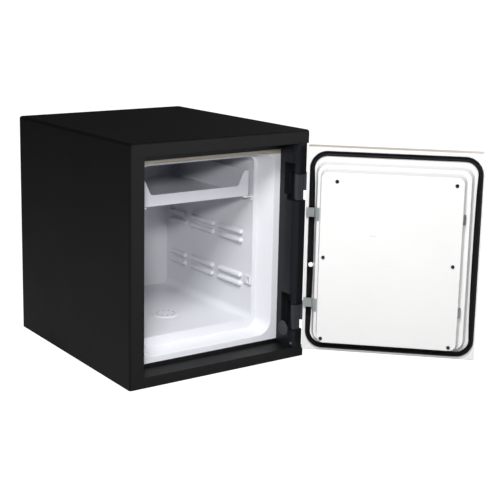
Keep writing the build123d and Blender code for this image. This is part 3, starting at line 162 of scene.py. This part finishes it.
# ---- shader helpers --------------------------------------------------------------
class Wire:
    """An output socket that takes part in ordinary sums."""

    def __init__(self, web, socket):
        self.web = web
        self.socket = socket

    def work_out(self, operation, first, second):
        return self.web.put("ShaderNodeMath", {"operation": operation},
                            {0: first, 1: second})

    def __add__(self, other):
        return self.work_out("ADD", self, other)

    def __radd__(self, other):
        return self.work_out("ADD", other, self)

    def __sub__(self, other):
        return self.work_out("SUBTRACT", self, other)

    def __rsub__(self, other):
        return self.work_out("SUBTRACT", other, self)

    def __mul__(self, other):
        return self.work_out("MULTIPLY", self, other)

    def __rmul__(self, other):
        return self.work_out("MULTIPLY", other, self)


class Web:
    """A node tree, emptied, and the way to add nodes to it."""

    def __init__(self, tree):
        self.tree = tree
        tree.nodes.clear()

    def add(self, kind, settings=None, sockets=None):
        """Adds a node, sets it, and then gives its sockets their values or links."""
        node = self.tree.nodes.new(kind)
        for key, value in (settings or {}).items():
            if key == "stops":
                set_stops(node.color_ramp, value)
            else:
                setattr(node, key, value)
        for key, value in (sockets or {}).items():
            self.plug(node.inputs[key], value)
        return node

    def put(self, kind, settings=None, sockets=None, output=0):
        """Adds a node and gives one of its outputs."""
        return Wire(self, self.add(kind, settings, sockets).outputs[output])

    def plug(self, socket, value):
        if isinstance(value, Wire):
            self.tree.links.new(value.socket, socket)
        else:
            socket.default_value = value

    def for_the_eye(self, seen, lit):
        """One shader for what the camera sees, another for what the light meets."""
        straight = self.put("ShaderNodeLightPath", output="Is Camera Ray")
        return self.put("ShaderNodeMixShader", None, {0: straight, 1: lit, 2: seen})


class Finish(Web):
    """One material and the ways to wire it."""

    def __init__(self, name, **shader):
        self.material = bpy.data.materials.new(name)
        self.material.use_nodes = True
        super().__init__(self.material.node_tree)
        self.shader = self.put("ShaderNodeBsdfPrincipled")
        self.surface = self.add("ShaderNodeOutputMaterial").inputs["Surface"]
        self.plug(self.surface, self.shader)
        self.feed(**shader)

    def feed(self, **values):
        """Gives the shader's sockets, named with underscores, their values or links."""
        for key, value in values.items():
            self.plug(self.shader.socket.node.inputs[key.replace("_", " ")], value)
        return self

    def point(self):
        """Object coordinates in metres."""
        return self.put("ShaderNodeTexCoord", output="Object")

    def noise(self, scale, detail=2.0, roughness=0.5, stretch=(1, 1, 1)):
        place = self.put("ShaderNodeMapping", None,
                         {"Vector": self.point(), "Scale": stretch})
        return self.put("ShaderNodeTexNoise", None,
                        {"Vector": place, "Scale": scale, "Detail": detail,
                         "Roughness": roughness})

    def ramp(self, value, *stops):
        return self.put("ShaderNodeValToRGB", {"stops": stops}, {0: value})

    def between(self, value, low, high):
        """A 0-to-1 value stretched to lie between low and high."""
        return self.put("ShaderNodeMapRange", None,
                        {"Value": value, "To Min": low, "To Max": high})

    def blend(self, factor, first, second):
        """A colour between two others."""
        return self.put("ShaderNodeMix", {"data_type": "RGBA"},
                        {MIX_FACTOR: factor, MIX_FIRST: first, MIX_SECOND: second},
                        output=MIX_RESULT)

    def above(self, height, soft):
        """0 below a height, 1 from a little above it."""
        rise = self.put("ShaderNodeSeparateXYZ", None, {0: self.point()}, output="Z")
        return self.put("ShaderNodeMapRange", None,
                        {"Value": rise, "From Min": height, "From Max": height + soft})

    def ring(self, centre, radius, width):
        """1 on a thin ball shell round a point, which a face shows as a ring."""
        away = self.put("ShaderNodeVectorMath", {"operation": "DISTANCE"},
                        {0: self.point(), 1: tuple(centre)}, output="Value")
        off = self.put("ShaderNodeMath", {"operation": "ABSOLUTE"}, {0: away - radius})
        return self.put("ShaderNodeMapRange", {"interpolation_type": "SMOOTHSTEP"},
                        {"Value": off, "From Min": 0.0, "From Max": width,
                         "To Min": 1.0, "To Max": 0.0})

    def soft_edges(self, radius, height, depth, strength):
        """Normals rounded over every edge, with a bump on top."""
        rounded = self.put("ShaderNodeBevel", {"samples": 6}, {"Radius": radius})
        return self.put("ShaderNodeBump", None,
                        {"Height": height, "Normal": rounded, "Distance": depth,
                         "Strength": strength})


def set_stops(ramp, stops):
    for element, (position, colour) in zip(ramp.elements, stops):
        element.position = position
        element.color = colour


def shade(colour, factor):
    """A colour made darker or lighter, opaque."""
    return tuple(channel * factor for channel in colour) + (1,)


def paint(finish, *names):
    """Gives a finish to CAD nodes."""
    for name in names:
        materials = frame["nodes"][name].data.materials
        materials.clear()
        materials.append(finish.material)


# ---- mesh helpers ----------------------------------------------------------------
def finish_piece(name, bm, finish, body, place, smooth=True):
    """Turns a bmesh, moved to its place, into a piece that rides on a body."""
    bmesh.ops.remove_doubles(bm, verts=bm.verts, dist=1e-6)
    bmesh.ops.recalc_face_normals(bm, faces=bm.faces)
    bm.transform(place)
    mesh = bpy.data.meshes.new(name)
    bm.to_mesh(mesh)
    bm.free()
    if smooth:
        mesh.shade_smooth()
    piece = bpy.data.objects.new(name, mesh)
    bpy.context.scene.collection.objects.link(piece)
    mesh.materials.append(finish.material)
    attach(piece, body)
    return piece


def closed_points(node):
    """A door node's points with the door shut."""
    return [TO_CLOSED @ v.co for v in frame["nodes"][node].data.vertices]


def closed_box(node):
    """A door node's lowest and highest corners with the door shut."""
    points = closed_points(node)
    low = Vector([min(p[i] for p in points) for i in range(3)])
    high = Vector([max(p[i] for p in points) for i in range(3)])
    return low, high


def clip_heights():
    """The heights of the middles of the two panel clips."""
    heights = [p.z for p in closed_points("panel_clips")]
    cut = (min(heights) + max(heights)) / 2
    clips = [z for z in heights if z < cut], [z for z in heights if z > cut]
    return [(min(clip) + max(clip)) / 2 for clip in clips]


def only(kind, items):
    """Those of a bmesh operator's results that are of one kind."""
    return [item for item in items if isinstance(item, kind)]


def moulding(bm, profile, box, radius, steps):
    """Runs a profile round a rounded rectangle that stands in the x-z plane.

    The profile is a closed list of (out, depth) points: out is measured outwards from
    the rectangle's line, and depth along y.
    """
    x0, x1, z0, z1 = box
    middle = (x0 + x1) / 2
    loop = [bm.verts.new((middle, depth, z0 - out)) for out, depth in profile]
    edges = [bm.edges.new(pair) for pair in zip(loop, loop[1:] + loop[:1])]
    spans = [
        ((x1 - radius - middle, 0), (x1 - radius, z0 + radius)),
        ((0, z1 - z0 - 2 * radius), (x1 - radius, z1 - radius)),
        ((x0 - x1 + 2 * radius, 0), (x0 + radius, z1 - radius)),
        ((0, z0 - z1 + 2 * radius), (x0 + radius, z0 + radius)),
        ((middle - x0 - radius, 0), None),
    ]
    for (dx, dz), corner in spans:
        made = bmesh.ops.extrude_edge_only(bm, edges=edges)["geom"]
        edges = only(bmesh.types.BMEdge, made)
        bmesh.ops.translate(bm, verts=only(bmesh.types.BMVert, made), vec=(dx, 0, dz))
        if corner is not None:
            spun = bmesh.ops.spin(bm, geom=edges, cent=(corner[0], 0, corner[1]),
                                  axis=(0, -1, 0), angle=math.pi / 2, steps=steps)
            edges = only(bmesh.types.BMEdge, spun["geom_last"])
    bmesh.ops.remove_doubles(bm, verts=bm.verts, dist=1e-6)


def cut_level(bm, height):
    """Cuts every face at a height, so that points there can move."""
    bmesh.ops.bisect_plane(bm, geom=bm.verts[:] + bm.edges[:] + bm.faces[:],
                           plane_co=(0, 0, height), plane_no=(0, 0, 1))


# ---- finishes --------------------------------------------------------------------
def powder_coat(name, colour, roughness=0.5, grain=2600.0):
    """Black paint with a fine dry texture and soft folded edges."""
    finish = Finish(name, Roughness=roughness, Specular_IOR_Level=0.3)
    grains = finish.noise(grain, detail=3.0, roughness=0.6)
    clouds = finish.noise(scale=9.0)
    return finish.feed(
        Base_Color=finish.blend(finish.between(clouds, 0.0, 1.0), shade(colour, 0.9),
                                shade(colour, 1.12)),
        Roughness=finish.between(grains * 0.5 + clouds * 0.5, roughness - 0.08,
                                 roughness + 0.1),
        Normal=finish.soft_edges(radius=0.0016, height=grains, depth=0.00006,
                                 strength=0.35),
    )


def moulded(name, colour, roughness=0.32, radius=0.0018, grain=1400.0, depth=0.00003,
            painted_shade_from=None):
    """Moulded plastic, faintly uneven, rounded edges, tan painted shade above a height."""
    finish = Finish(name, Roughness=roughness)
    waves = finish.noise(scale=14.0)
    grains = finish.noise(grain, roughness=0.55)
    tone = finish.blend(waves, shade(colour, 0.975), shade(colour, 1.02))
    # Above the given height the colour turns tan: painted shade where the casing's head shades
    # the mouth.
    if painted_shade_from is not None:
        tone = finish.blend(finish.above(painted_shade_from, PAINTED_SHADE_FADE), tone, shade(PAINTED_SHADE_TAN, 1))
    return finish.feed(
        Base_Color=tone,
        Roughness=finish.between(grains, roughness - 0.05, roughness + 0.07),
        Normal=finish.soft_edges(radius, grains * 0.6 + waves * 0.4, depth,
                                 strength=0.25),
    )


def panel_plastic(colour, gate, dash, radius):
    """The door panel's plastic, with its moulding marks."""
    finish = Finish("panel_plastic", Roughness=0.34)
    waves = finish.noise(scale=11.0)
    grains = finish.noise(scale=1500.0, roughness=0.55)
    rings = (finish.ring(gate, radius=0.0075, width=0.0009)
             + finish.ring(gate, radius=0.0, width=0.0016))
    dots = sum((finish.ring(spot, radius=0.0, width=0.0024) for spot in dash), 0.0)
    return finish.feed(
        Base_Color=finish.blend(rings * 0.12 + dots * 0.45,
                                finish.blend(waves, shade(colour, 0.965),
                                             shade(colour, 1.015)),
                                shade(colour, 0.45)),
        Roughness=finish.between(grains, 0.28, 0.42),
        Normal=finish.soft_edges(radius, grains * 0.5 + waves * 0.4 - rings * 0.9,
                                 depth=0.00006, strength=0.35),
    )


def plated(name, colour, roughness=0.28, stretch=(1, 1, 1)):
    """Zinc or chrome plate with faint drawn lines and blotches."""
    finish = Finish(name, Metallic=1.0, Roughness=roughness)
    lines = finish.noise(scale=900.0, detail=3.0, roughness=0.6, stretch=stretch)
    blotches = finish.noise(scale=60.0, detail=3.0)
    return finish.feed(
        Base_Color=finish.blend(blotches, shade(colour, 0.88), shade(colour, 1.05)),
        Roughness=finish.between(lines * 0.6 + blotches * 0.4, roughness - 0.07,
                                 roughness + 0.12),
        Normal=finish.soft_edges(radius=0.0005, height=lines, depth=0.00002,
                                 strength=0.2),
    )


def rubber(name, colour):
    """Dull rubber with fine pores and a faint bloom."""
    finish = Finish(name, Roughness=0.4, Specular_IOR_Level=0.32)
    pores = finish.noise(scale=1800.0, detail=3.0, roughness=0.6)
    bloom = finish.noise(scale=24.0, detail=3.0)
    return finish.feed(
        Base_Color=finish.blend(bloom, shade(colour, 0.85), shade(colour, 1.25)),
        Roughness=finish.between(pores * 0.5 + bloom * 0.5, 0.32, 0.5),
        Normal=finish.soft_edges(radius=0.0008, height=pores, depth=0.00004,
                                 strength=0.3),
    )


def cast_fill(name, colour):
    """Coarse, lumpy insulation."""
    finish = Finish(name, Roughness=0.9)
    lumps = finish.noise(scale=160.0, detail=6.0, roughness=0.65)
    return finish.feed(
        Base_Color=finish.ramp(lumps, (0.3, shade(colour, 0.75)),
                               (0.7, shade(colour, 1.1))),
        Normal=finish.soft_edges(radius=0.001, height=lumps, depth=0.0006,
                                 strength=0.6),
    )


# ---- settings --------------------------------------------------------------------
class SafeFinishes(bpy.types.PropertyGroup):
    """Colours of the main pieces, and the rounding of the moulded ones"""
    body_black: bpy.props.FloatVectorProperty(
        name="Body black", description="Colour of the powder-coated casing",
        subtype="COLOR", default=(0.0032, 0.0032, 0.0035), min=0, max=1)
    liner_grey: bpy.props.FloatVectorProperty(
        name="Liner", description="Colour of the moulded liner, its runners and clips",
        subtype="COLOR", default=(0.66, 0.67, 0.705), min=0, max=1)
    panel_white: bpy.props.FloatVectorProperty(
        name="Door panel", description="Colour of the door's inner panel",
        subtype="COLOR", default=(0.665, 0.663, 0.66), min=0, max=1)
    seal_black: bpy.props.FloatVectorProperty(
        name="Seal", description="Colour of the door's rubber seal", subtype="COLOR",
        default=(0.0022, 0.0022, 0.0030), min=0, max=1)
    edge_radius: bpy.props.FloatProperty(
        name="Moulded edge", description="Rounding of the moulded edges",
        unit="LENGTH", default=0.0018, min=0.0002, max=0.005)


class SafeStudio(bpy.types.PropertyGroup):
    """The camera's lens and the power of the lights"""
    lens: bpy.props.FloatProperty(
        name="Lens", description="Focal length of the camera", unit="CAMERA",
        default=87.17, min=20, max=300)
    key_power: bpy.props.FloatProperty(
        name="Key light", description="Power of the low front light, in watts",
        unit="POWER", default=16.8, min=0, max=500)
    high_power: bpy.props.FloatProperty(
        name="High light", description="Power of the high front light, in watts",
        unit="POWER", default=54.0, min=0, max=500)
    fill_power: bpy.props.FloatProperty(
        name="Fill light", description="Power of the broad front light, in watts",
        unit="POWER", default=15.0, min=0, max=500)
    back_power: bpy.props.FloatProperty(
        name="Back lights", unit="POWER", default=22.0, min=0, max=500,
        description="Power of each light beside and behind, in watts")
    room_light: bpy.props.FloatProperty(
        name="Room light", description="Strength of the dim surroundings",
        default=0.03, min=0, max=5)


# ---- operators -------------------------------------------------------------------
class DRESS_OT_body(bpy.types.Operator):
    """Paints the steel body, its hinge parts and the insulation in it"""
    bl_idname = "safe.dress_body"
    bl_label = "Paint the body"

    def execute(self, context):
        finishes = context.scene.safe_finishes
        black = powder_coat("casing_paint", finishes.body_black)
        paint(black, "outer_casing", "base_plate", "back_panel")
        post = powder_coat("post_paint", POST_BLACK, roughness=0.36, grain=3200.0)
        paint(post, "hinge_post")
        knuckles = powder_coat("knuckle_paint", KNUCKLE_BLACK, roughness=0.4,
                               grain=2200.0)
        paint(knuckles, "hinge_knuckles", "jamb_cap")
        paint(plated("pin_zinc", PIN_ZINC), "hinge_pins", "post_screw", "strike_boxes")
        paint(cast_fill("cast_insulation", FILLING_GREY), "body_insulation",
              "door_insulation")
        return {"FINISHED"}


class DRESS_OT_liner(bpy.types.Operator):
    """Gives the liner, the runners, the clips and the tray their moulded plastic"""
    bl_idname = "safe.dress_liner"
    bl_label = "Dress the liner"

    def execute(self, context):
        finishes = context.scene.safe_finishes
        grey, radius = finishes.liner_grey, finishes.edge_radius
        paint(moulded("liner_plastic", grey, roughness=0.3, radius=radius),
              "tray_runners", "shelf_clips", "anchor_cap")
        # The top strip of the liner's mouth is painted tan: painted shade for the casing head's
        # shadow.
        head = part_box("inner_liner")[1].z
        paint(moulded("mouth_plastic", grey, roughness=0.3, radius=radius,
                      painted_shade_from=head - PAINTED_SHADE_BAND), "inner_liner")
        paint(moulded("tray_plastic", TRAY_GREY, roughness=0.34, radius=0.0012), "tray")
        return {"FINISHED"}


class DRESS_OT_plugs(bpy.types.Operator):
    """Sets a ring of small dark plugs into the anchor's cap"""
    bl_idname = "safe.dress_plugs"
    bl_label = "Set the cap's plugs"

    def execute(self, context):
        low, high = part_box("anchor_cap")
        bm = bmesh.new()
        for step in range(PLUG_COUNT):
            made = bmesh.ops.create_cone(bm, cap_ends=True, segments=16,
                                         radius1=PLUG_FOOT, radius2=PLUG_TOP,
                                         depth=PLUG_DEPTH)
            around = math.radians(360 / PLUG_COUNT * step)
            bmesh.ops.translate(bm, verts=made["verts"],
                                vec=(PLUG_RING * math.cos(around),
                                     PLUG_RING * math.sin(around), -PLUG_SINK))
        rise = (high.z - low.z - CAP_THICKNESS) / (high.y - low.y)
        slope = math.asin(min(1.0, max(0.0, rise)))
        middle = (low + high) / 2
        place = (Matrix.Translation((middle.x, middle.y, middle.z + CAP_LIFT))
                 @ Matrix.Rotation(slope, 4, "X"))
        finish_piece("cap_plugs", bm, rubber("speck_rubber", SPECK_BLACK), "safe_body",
                     place, smooth=False)
        return {"FINISHED"}


class DRESS_OT_door(bpy.types.Operator):
    """Finishes the door's panel, shell, outer cover, clips and screws"""
    bl_idname = "safe.dress_door"
    bl_label = "Dress the door"

    def execute(self, context):
        finishes = context.scene.safe_finishes
        low, high = closed_box("inner_panel")
        middle = (low.x + high.x) / 2
        gate = TO_OPEN @ Vector((middle + GATE_ALONG, high.y, low.z + GATE_RISE))
        dash = [TO_OPEN @ Vector((middle + along, high.y, low.z + DASH_RISE))
                for along in DASH_ALONG]
        paint(panel_plastic(finishes.panel_white, gate, dash, finishes.edge_radius),
              "inner_panel")
        paint(moulded("shell_paint", SHELL_BEIGE, roughness=0.35), "door_shell")
        paint(moulded("cover_plastic", COVER_BLACK, roughness=0.4, radius=0.002),
              "door_fascia")
        paint(plated("clip_zinc", CLIP_ZINC, roughness=0.3), "panel_clips",
              "clip_screws")
        # The panel screws are coloured near black: painted shade of their recesses.
        paint(plated("blackened_screw", SCREW_SHADE_DARK, roughness=0.35), "panel_screws")
        paint(moulded("stud_nylon", STUD_WHITE, roughness=0.4, radius=0.0006),
              "locating_stud")
        return {"FINISHED"}


class DRESS_OT_seal(bpy.types.Operator):
    """Makes the extruded rubber seal around the door's plug"""
    bl_idname = "safe.dress_seal"
    bl_label = "Make the seal"

    def execute(self, context):
        seal = rubber("seal_rubber", context.scene.safe_finishes.seal_black)
        paint(seal, "keypad_membrane")
        low, high = closed_box("door_gasket")
        profile = [(out, low.y + rise) for out, rise in SEAL_HEEL]
        profile += [(out, high.y + rise) for out, rise in SEAL_CROWN]
        profile += [(out, low.y + rise) for out, rise in SEAL_TOE]
        bm = bmesh.new()
        moulding(bm, profile, (low.x, high.x, low.z, high.z), SEAL_CORNER,
                 SEAL_CORNER_STEPS)
        for middle in clip_heights():
            press_down(bm, high.x - SEAL_RUN, middle - CLIP_REACH, middle + CLIP_REACH,
                       low.y + SEAL_UNDER_CLIP)
        stud_low, stud_high = closed_box("locating_stud")
        press_down(bm, high.x - SEAL_RUN, stud_low.z - STUD_MARGIN,
                   stud_high.z + STUD_MARGIN, low.y + SEAL_UNDER_STUD)
        swell_sides(bm, low, high)
        piece = finish_piece("door_seal", bm, seal, "door", TO_OPEN)
        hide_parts("door_gasket")
        return {"FINISHED"}


def press_down(bm, side, bottom, top, limit):
    """Flattens the seal's hinge-side run between two heights, under another piece."""
    for height in (bottom - SEAL_DIP_RAMP, bottom, top, top + SEAL_DIP_RAMP):
        cut_level(bm, height)
    for vert in bm.verts:
        if (vert.co.x > side
                and bottom - LEVEL_TOLERANCE < vert.co.z < top + LEVEL_TOLERANCE):
            vert.co.y = min(vert.co.y, limit)


def swell_sides(bm, low, high):
    """Widens the seal's two upright runs towards the panel, most at mid-height."""
    bottom, top = low.z + SWELL_ENDS, high.z - SWELL_ENDS
    for step in range(1, SWELL_STEPS):
        cut_level(bm, bottom + (top - bottom) * step / SWELL_STEPS)
    middle = (low.x + high.x) / 2
    for vert in bm.verts:
        inset = min(vert.co.x - low.x, high.x - vert.co.x)
        if bottom < vert.co.z < top and SWELL_INSET < inset < SEAL_RUN:
            bow = math.sqrt(math.sin(math.pi * (vert.co.z - bottom) / (top - bottom)))
            vert.co.x += math.copysign(SWELL * bow, middle - vert.co.x)


class DRESS_OT_boltwork(bpy.types.Operator):
    """Finishes the steel and nylon pieces inside the door"""
    bl_idname = "safe.dress_boltwork"
    bl_label = "Dress the boltwork"

    def execute(self, context):
        paint(plated("boltwork_zinc", BOLTWORK_ZINC, roughness=0.32), "mechanism_plate",
              "plate_standoffs", "bolt_carriage", "guide_studs", "crank", "spindle",
              "solenoid_body", "solenoid_plunger")
        paint(plated("bolt_steel", BOLT_STEEL, roughness=0.18, stretch=(1, 12, 12)),
              "live_bolts")
        paint(moulded("guide_nylon", GUIDE_WHITE, roughness=0.45, radius=0.0005),
              "bolt_guides")
        return {"FINISHED"}


def legend(node, text, finish):
    """Prints a number or a sign on a key's face."""
    low, high = closed_box(node)
    curve = bpy.data.curves.new("legend_" + node, "FONT")
    curve.body = text
    curve.size = LEGEND_HEIGHT
    curve.extrude = LEGEND_RISE
    curve.align_x = "CENTER"
    curve.align_y = "CENTER"
    holder = bpy.data.objects.new("legend_curve", curve)
    mesh = bpy.data.meshes.new_from_object(holder)
    bpy.data.objects.remove(holder)
    bm = bmesh.new()
    bm.from_mesh(mesh)
    bpy.data.meshes.remove(mesh)
    middle = (low + high) / 2
    face = (Matrix.Translation((middle.x, low.y, middle.z))
            @ Matrix.Rotation(math.pi / 2, 4, "X"))
    finish_piece("legend_" + node, bm, finish, node, TO_OPEN @ face,
                 smooth=False)


class DRESS_OT_controls(bpy.types.Operator):
    """Finishes the keypad, the lever handle, the lock and the cells"""
    bl_idname = "safe.dress_controls"
    bl_label = "Dress the controls"

    def execute(self, context):
        paint(plated("satin_chrome", SATIN_CHROME, roughness=0.2), "handle",
              "handle_rose", "lock_cylinder", "key_plug")
        paint(moulded("keypad_gloss", KEYPAD_BLACK, roughness=0.14, radius=0.0008,
                      grain=500.0, depth=0.00001), "keypad_housing", "battery_cover")
        paint(moulded("key_plastic", KEY_BLACK, roughness=0.42, radius=0.0006),
              *KEY_LEGENDS)
        ink = moulded("legend_white", LEGEND_WHITE, roughness=0.5, radius=0.0001)
        for node, text in KEY_LEGENDS.items():
            legend(node, text, ink)
        paint(moulded("board_mask", BOARD_GREEN, roughness=0.35, radius=0.0003),
              "circuit_board")
        paint(moulded("lens_green", LENS_GREEN, roughness=0.1, radius=0.0003),
              "indicator_lens")
        paint(plated("cell_wrap", CELL_GREY, roughness=0.3), "batteries")
        paint(moulded("holder_plastic", HOLDER_BLACK, roughness=0.5, radius=0.0006),
              "battery_holder")
        return {"FINISHED"}


class DRESS_OT_stage(bpy.types.Operator):
    """Sets the pale floor, the soft lights and the camera"""
    bl_idname = "safe.dress_stage"
    bl_label = "Set the studio"

    def execute(self, context):
        scene, studio = context.scene, context.scene.safe_studio
        bm = bmesh.new()
        bmesh.ops.create_grid(bm, x_segments=2, y_segments=2, size=FLOOR_REACH)
        bmesh.ops.translate(bm, verts=bm.verts, vec=(0, 0, -FLOOR_DROP))
        mesh = bpy.data.meshes.new("studio_floor")
        bm.to_mesh(mesh)
        bm.free()
        floor = bpy.data.objects.new("studio_floor", mesh)
        scene.collection.objects.link(floor)
        mesh.materials.append(bright_floor())
        scene.world = bright_room(studio.room_light)
        for name, spot, aim, size, power, mirrored in LIGHTS:
            add_area(name, spot, aim, size, getattr(studio, power), mirrored)
        scene.view_settings.view_transform = "Standard"
        set_camera(scene, studio.lens)
        return {"FINISHED"}


def bright_floor():
    """White to the eye, with a matt surface for the light that bounces off it."""
    pale = Finish("floor_pale", Base_Color=shade(FLOOR_BOUNCE, 1), Roughness=0.9)
    glow = pale.put("ShaderNodeEmission", None, {"Strength": WHITE_GLOW})
    pale.plug(pale.surface, pale.for_the_eye(glow, pale.shader))
    return pale.material


def bright_room(strength):
    """White surroundings to the eye, which light the safe only dimly."""
    world = bpy.data.worlds.new("studio_white")
    world.use_nodes = True
    web = Web(world.node_tree)
    seen = web.put("ShaderNodeBackground", None,
                   {"Color": shade(SEEN_WHITE, 1), "Strength": WHITE_GLOW})
    room = web.put("ShaderNodeBackground", None,
                   {"Color": shade(ROOM_BLUE, 1), "Strength": strength})
    web.add("ShaderNodeOutputWorld", None, {"Surface": web.for_the_eye(seen, room)})
    return world


def add_area(name, spot, aim, size, power, mirrored):
    """Hangs a round light. The small strong ones aren't mirrored in the paint."""
    data = bpy.data.lights.new(name, "AREA")
    data.shape = "DISK"
    data.size = size
    data.energy = power
    lamp = bpy.data.objects.new(name, data)
    bpy.context.scene.collection.objects.link(lamp)
    lamp.visible_glossy = mirrored
    lamp.location = spot
    towards = Vector(aim) - Vector(spot)
    lamp.rotation_euler = towards.to_track_quat("-Z", "Y").to_euler()


def set_camera(scene, lens):
    """Stands the camera to the left of the door, a little above, slightly tilted."""
    azimuth, elevation, roll = (math.radians(angle) for angle in (
        CAMERA_AZIMUTH, CAMERA_ELEVATION, CAMERA_ROLL))
    back = Vector((math.sin(azimuth) * math.cos(elevation),
                   -math.cos(azimuth) * math.cos(elevation), math.sin(elevation)))
    right = (-back).cross(Vector((0, 0, 1))).normalized()
    up = right.cross(-back)
    tilted_right = right * math.cos(roll) + up * math.sin(roll)
    tilted_up = up * math.cos(roll) - right * math.sin(roll)
    turn = Matrix((tilted_right, tilted_up, back)).transposed()
    data = bpy.data.cameras.new("camera")
    data.lens = lens
    data.shift_x, data.shift_y = CAMERA_SHIFT
    data.clip_end = 100
    camera = bpy.data.objects.new("camera", data)
    scene.collection.objects.link(camera)
    camera.matrix_world = Matrix.Translation(CAMERA_PLACE) @ turn.to_4x4()
    scene.camera = camera


class DRESS_PT_panel(bpy.types.Panel):
    """Lists the steps that dress the safe, and their settings"""
    bl_label = "Safe"
    bl_idname = "DRESS_PT_panel"
    bl_space_type = "VIEW_3D"
    bl_region_type = "UI"
    bl_category = "Safe"

    def draw(self, context):
        for settings in (context.scene.safe_finishes, context.scene.safe_studio):
            for name in settings.__annotations__:
                self.layout.prop(settings, name)
        for step in STEPS:
            self.layout.operator(step.bl_idname)


STEPS = (DRESS_OT_body, DRESS_OT_liner, DRESS_OT_plugs, DRESS_OT_door, DRESS_OT_seal,
         DRESS_OT_boltwork, DRESS_OT_controls, DRESS_OT_stage)
CLASSES = (SafeFinishes, SafeStudio, *STEPS, DRESS_PT_panel)


def register():
    for cls in CLASSES:
        bpy.utils.register_class(cls)
    bpy.types.Scene.safe_finishes = bpy.props.PointerProperty(type=SafeFinishes)
    bpy.types.Scene.safe_studio = bpy.props.PointerProperty(type=SafeStudio)


def unregister():
    del bpy.types.Scene.safe_studio
    del bpy.types.Scene.safe_finishes
    for cls in reversed(CLASSES):
        bpy.utils.unregister_class(cls)


def main():
    register()
    for step in STEPS:
        group, name = step.bl_idname.split(".")
        getattr(getattr(bpy.ops, group), name)()


if __name__ == "__main__":
    main()
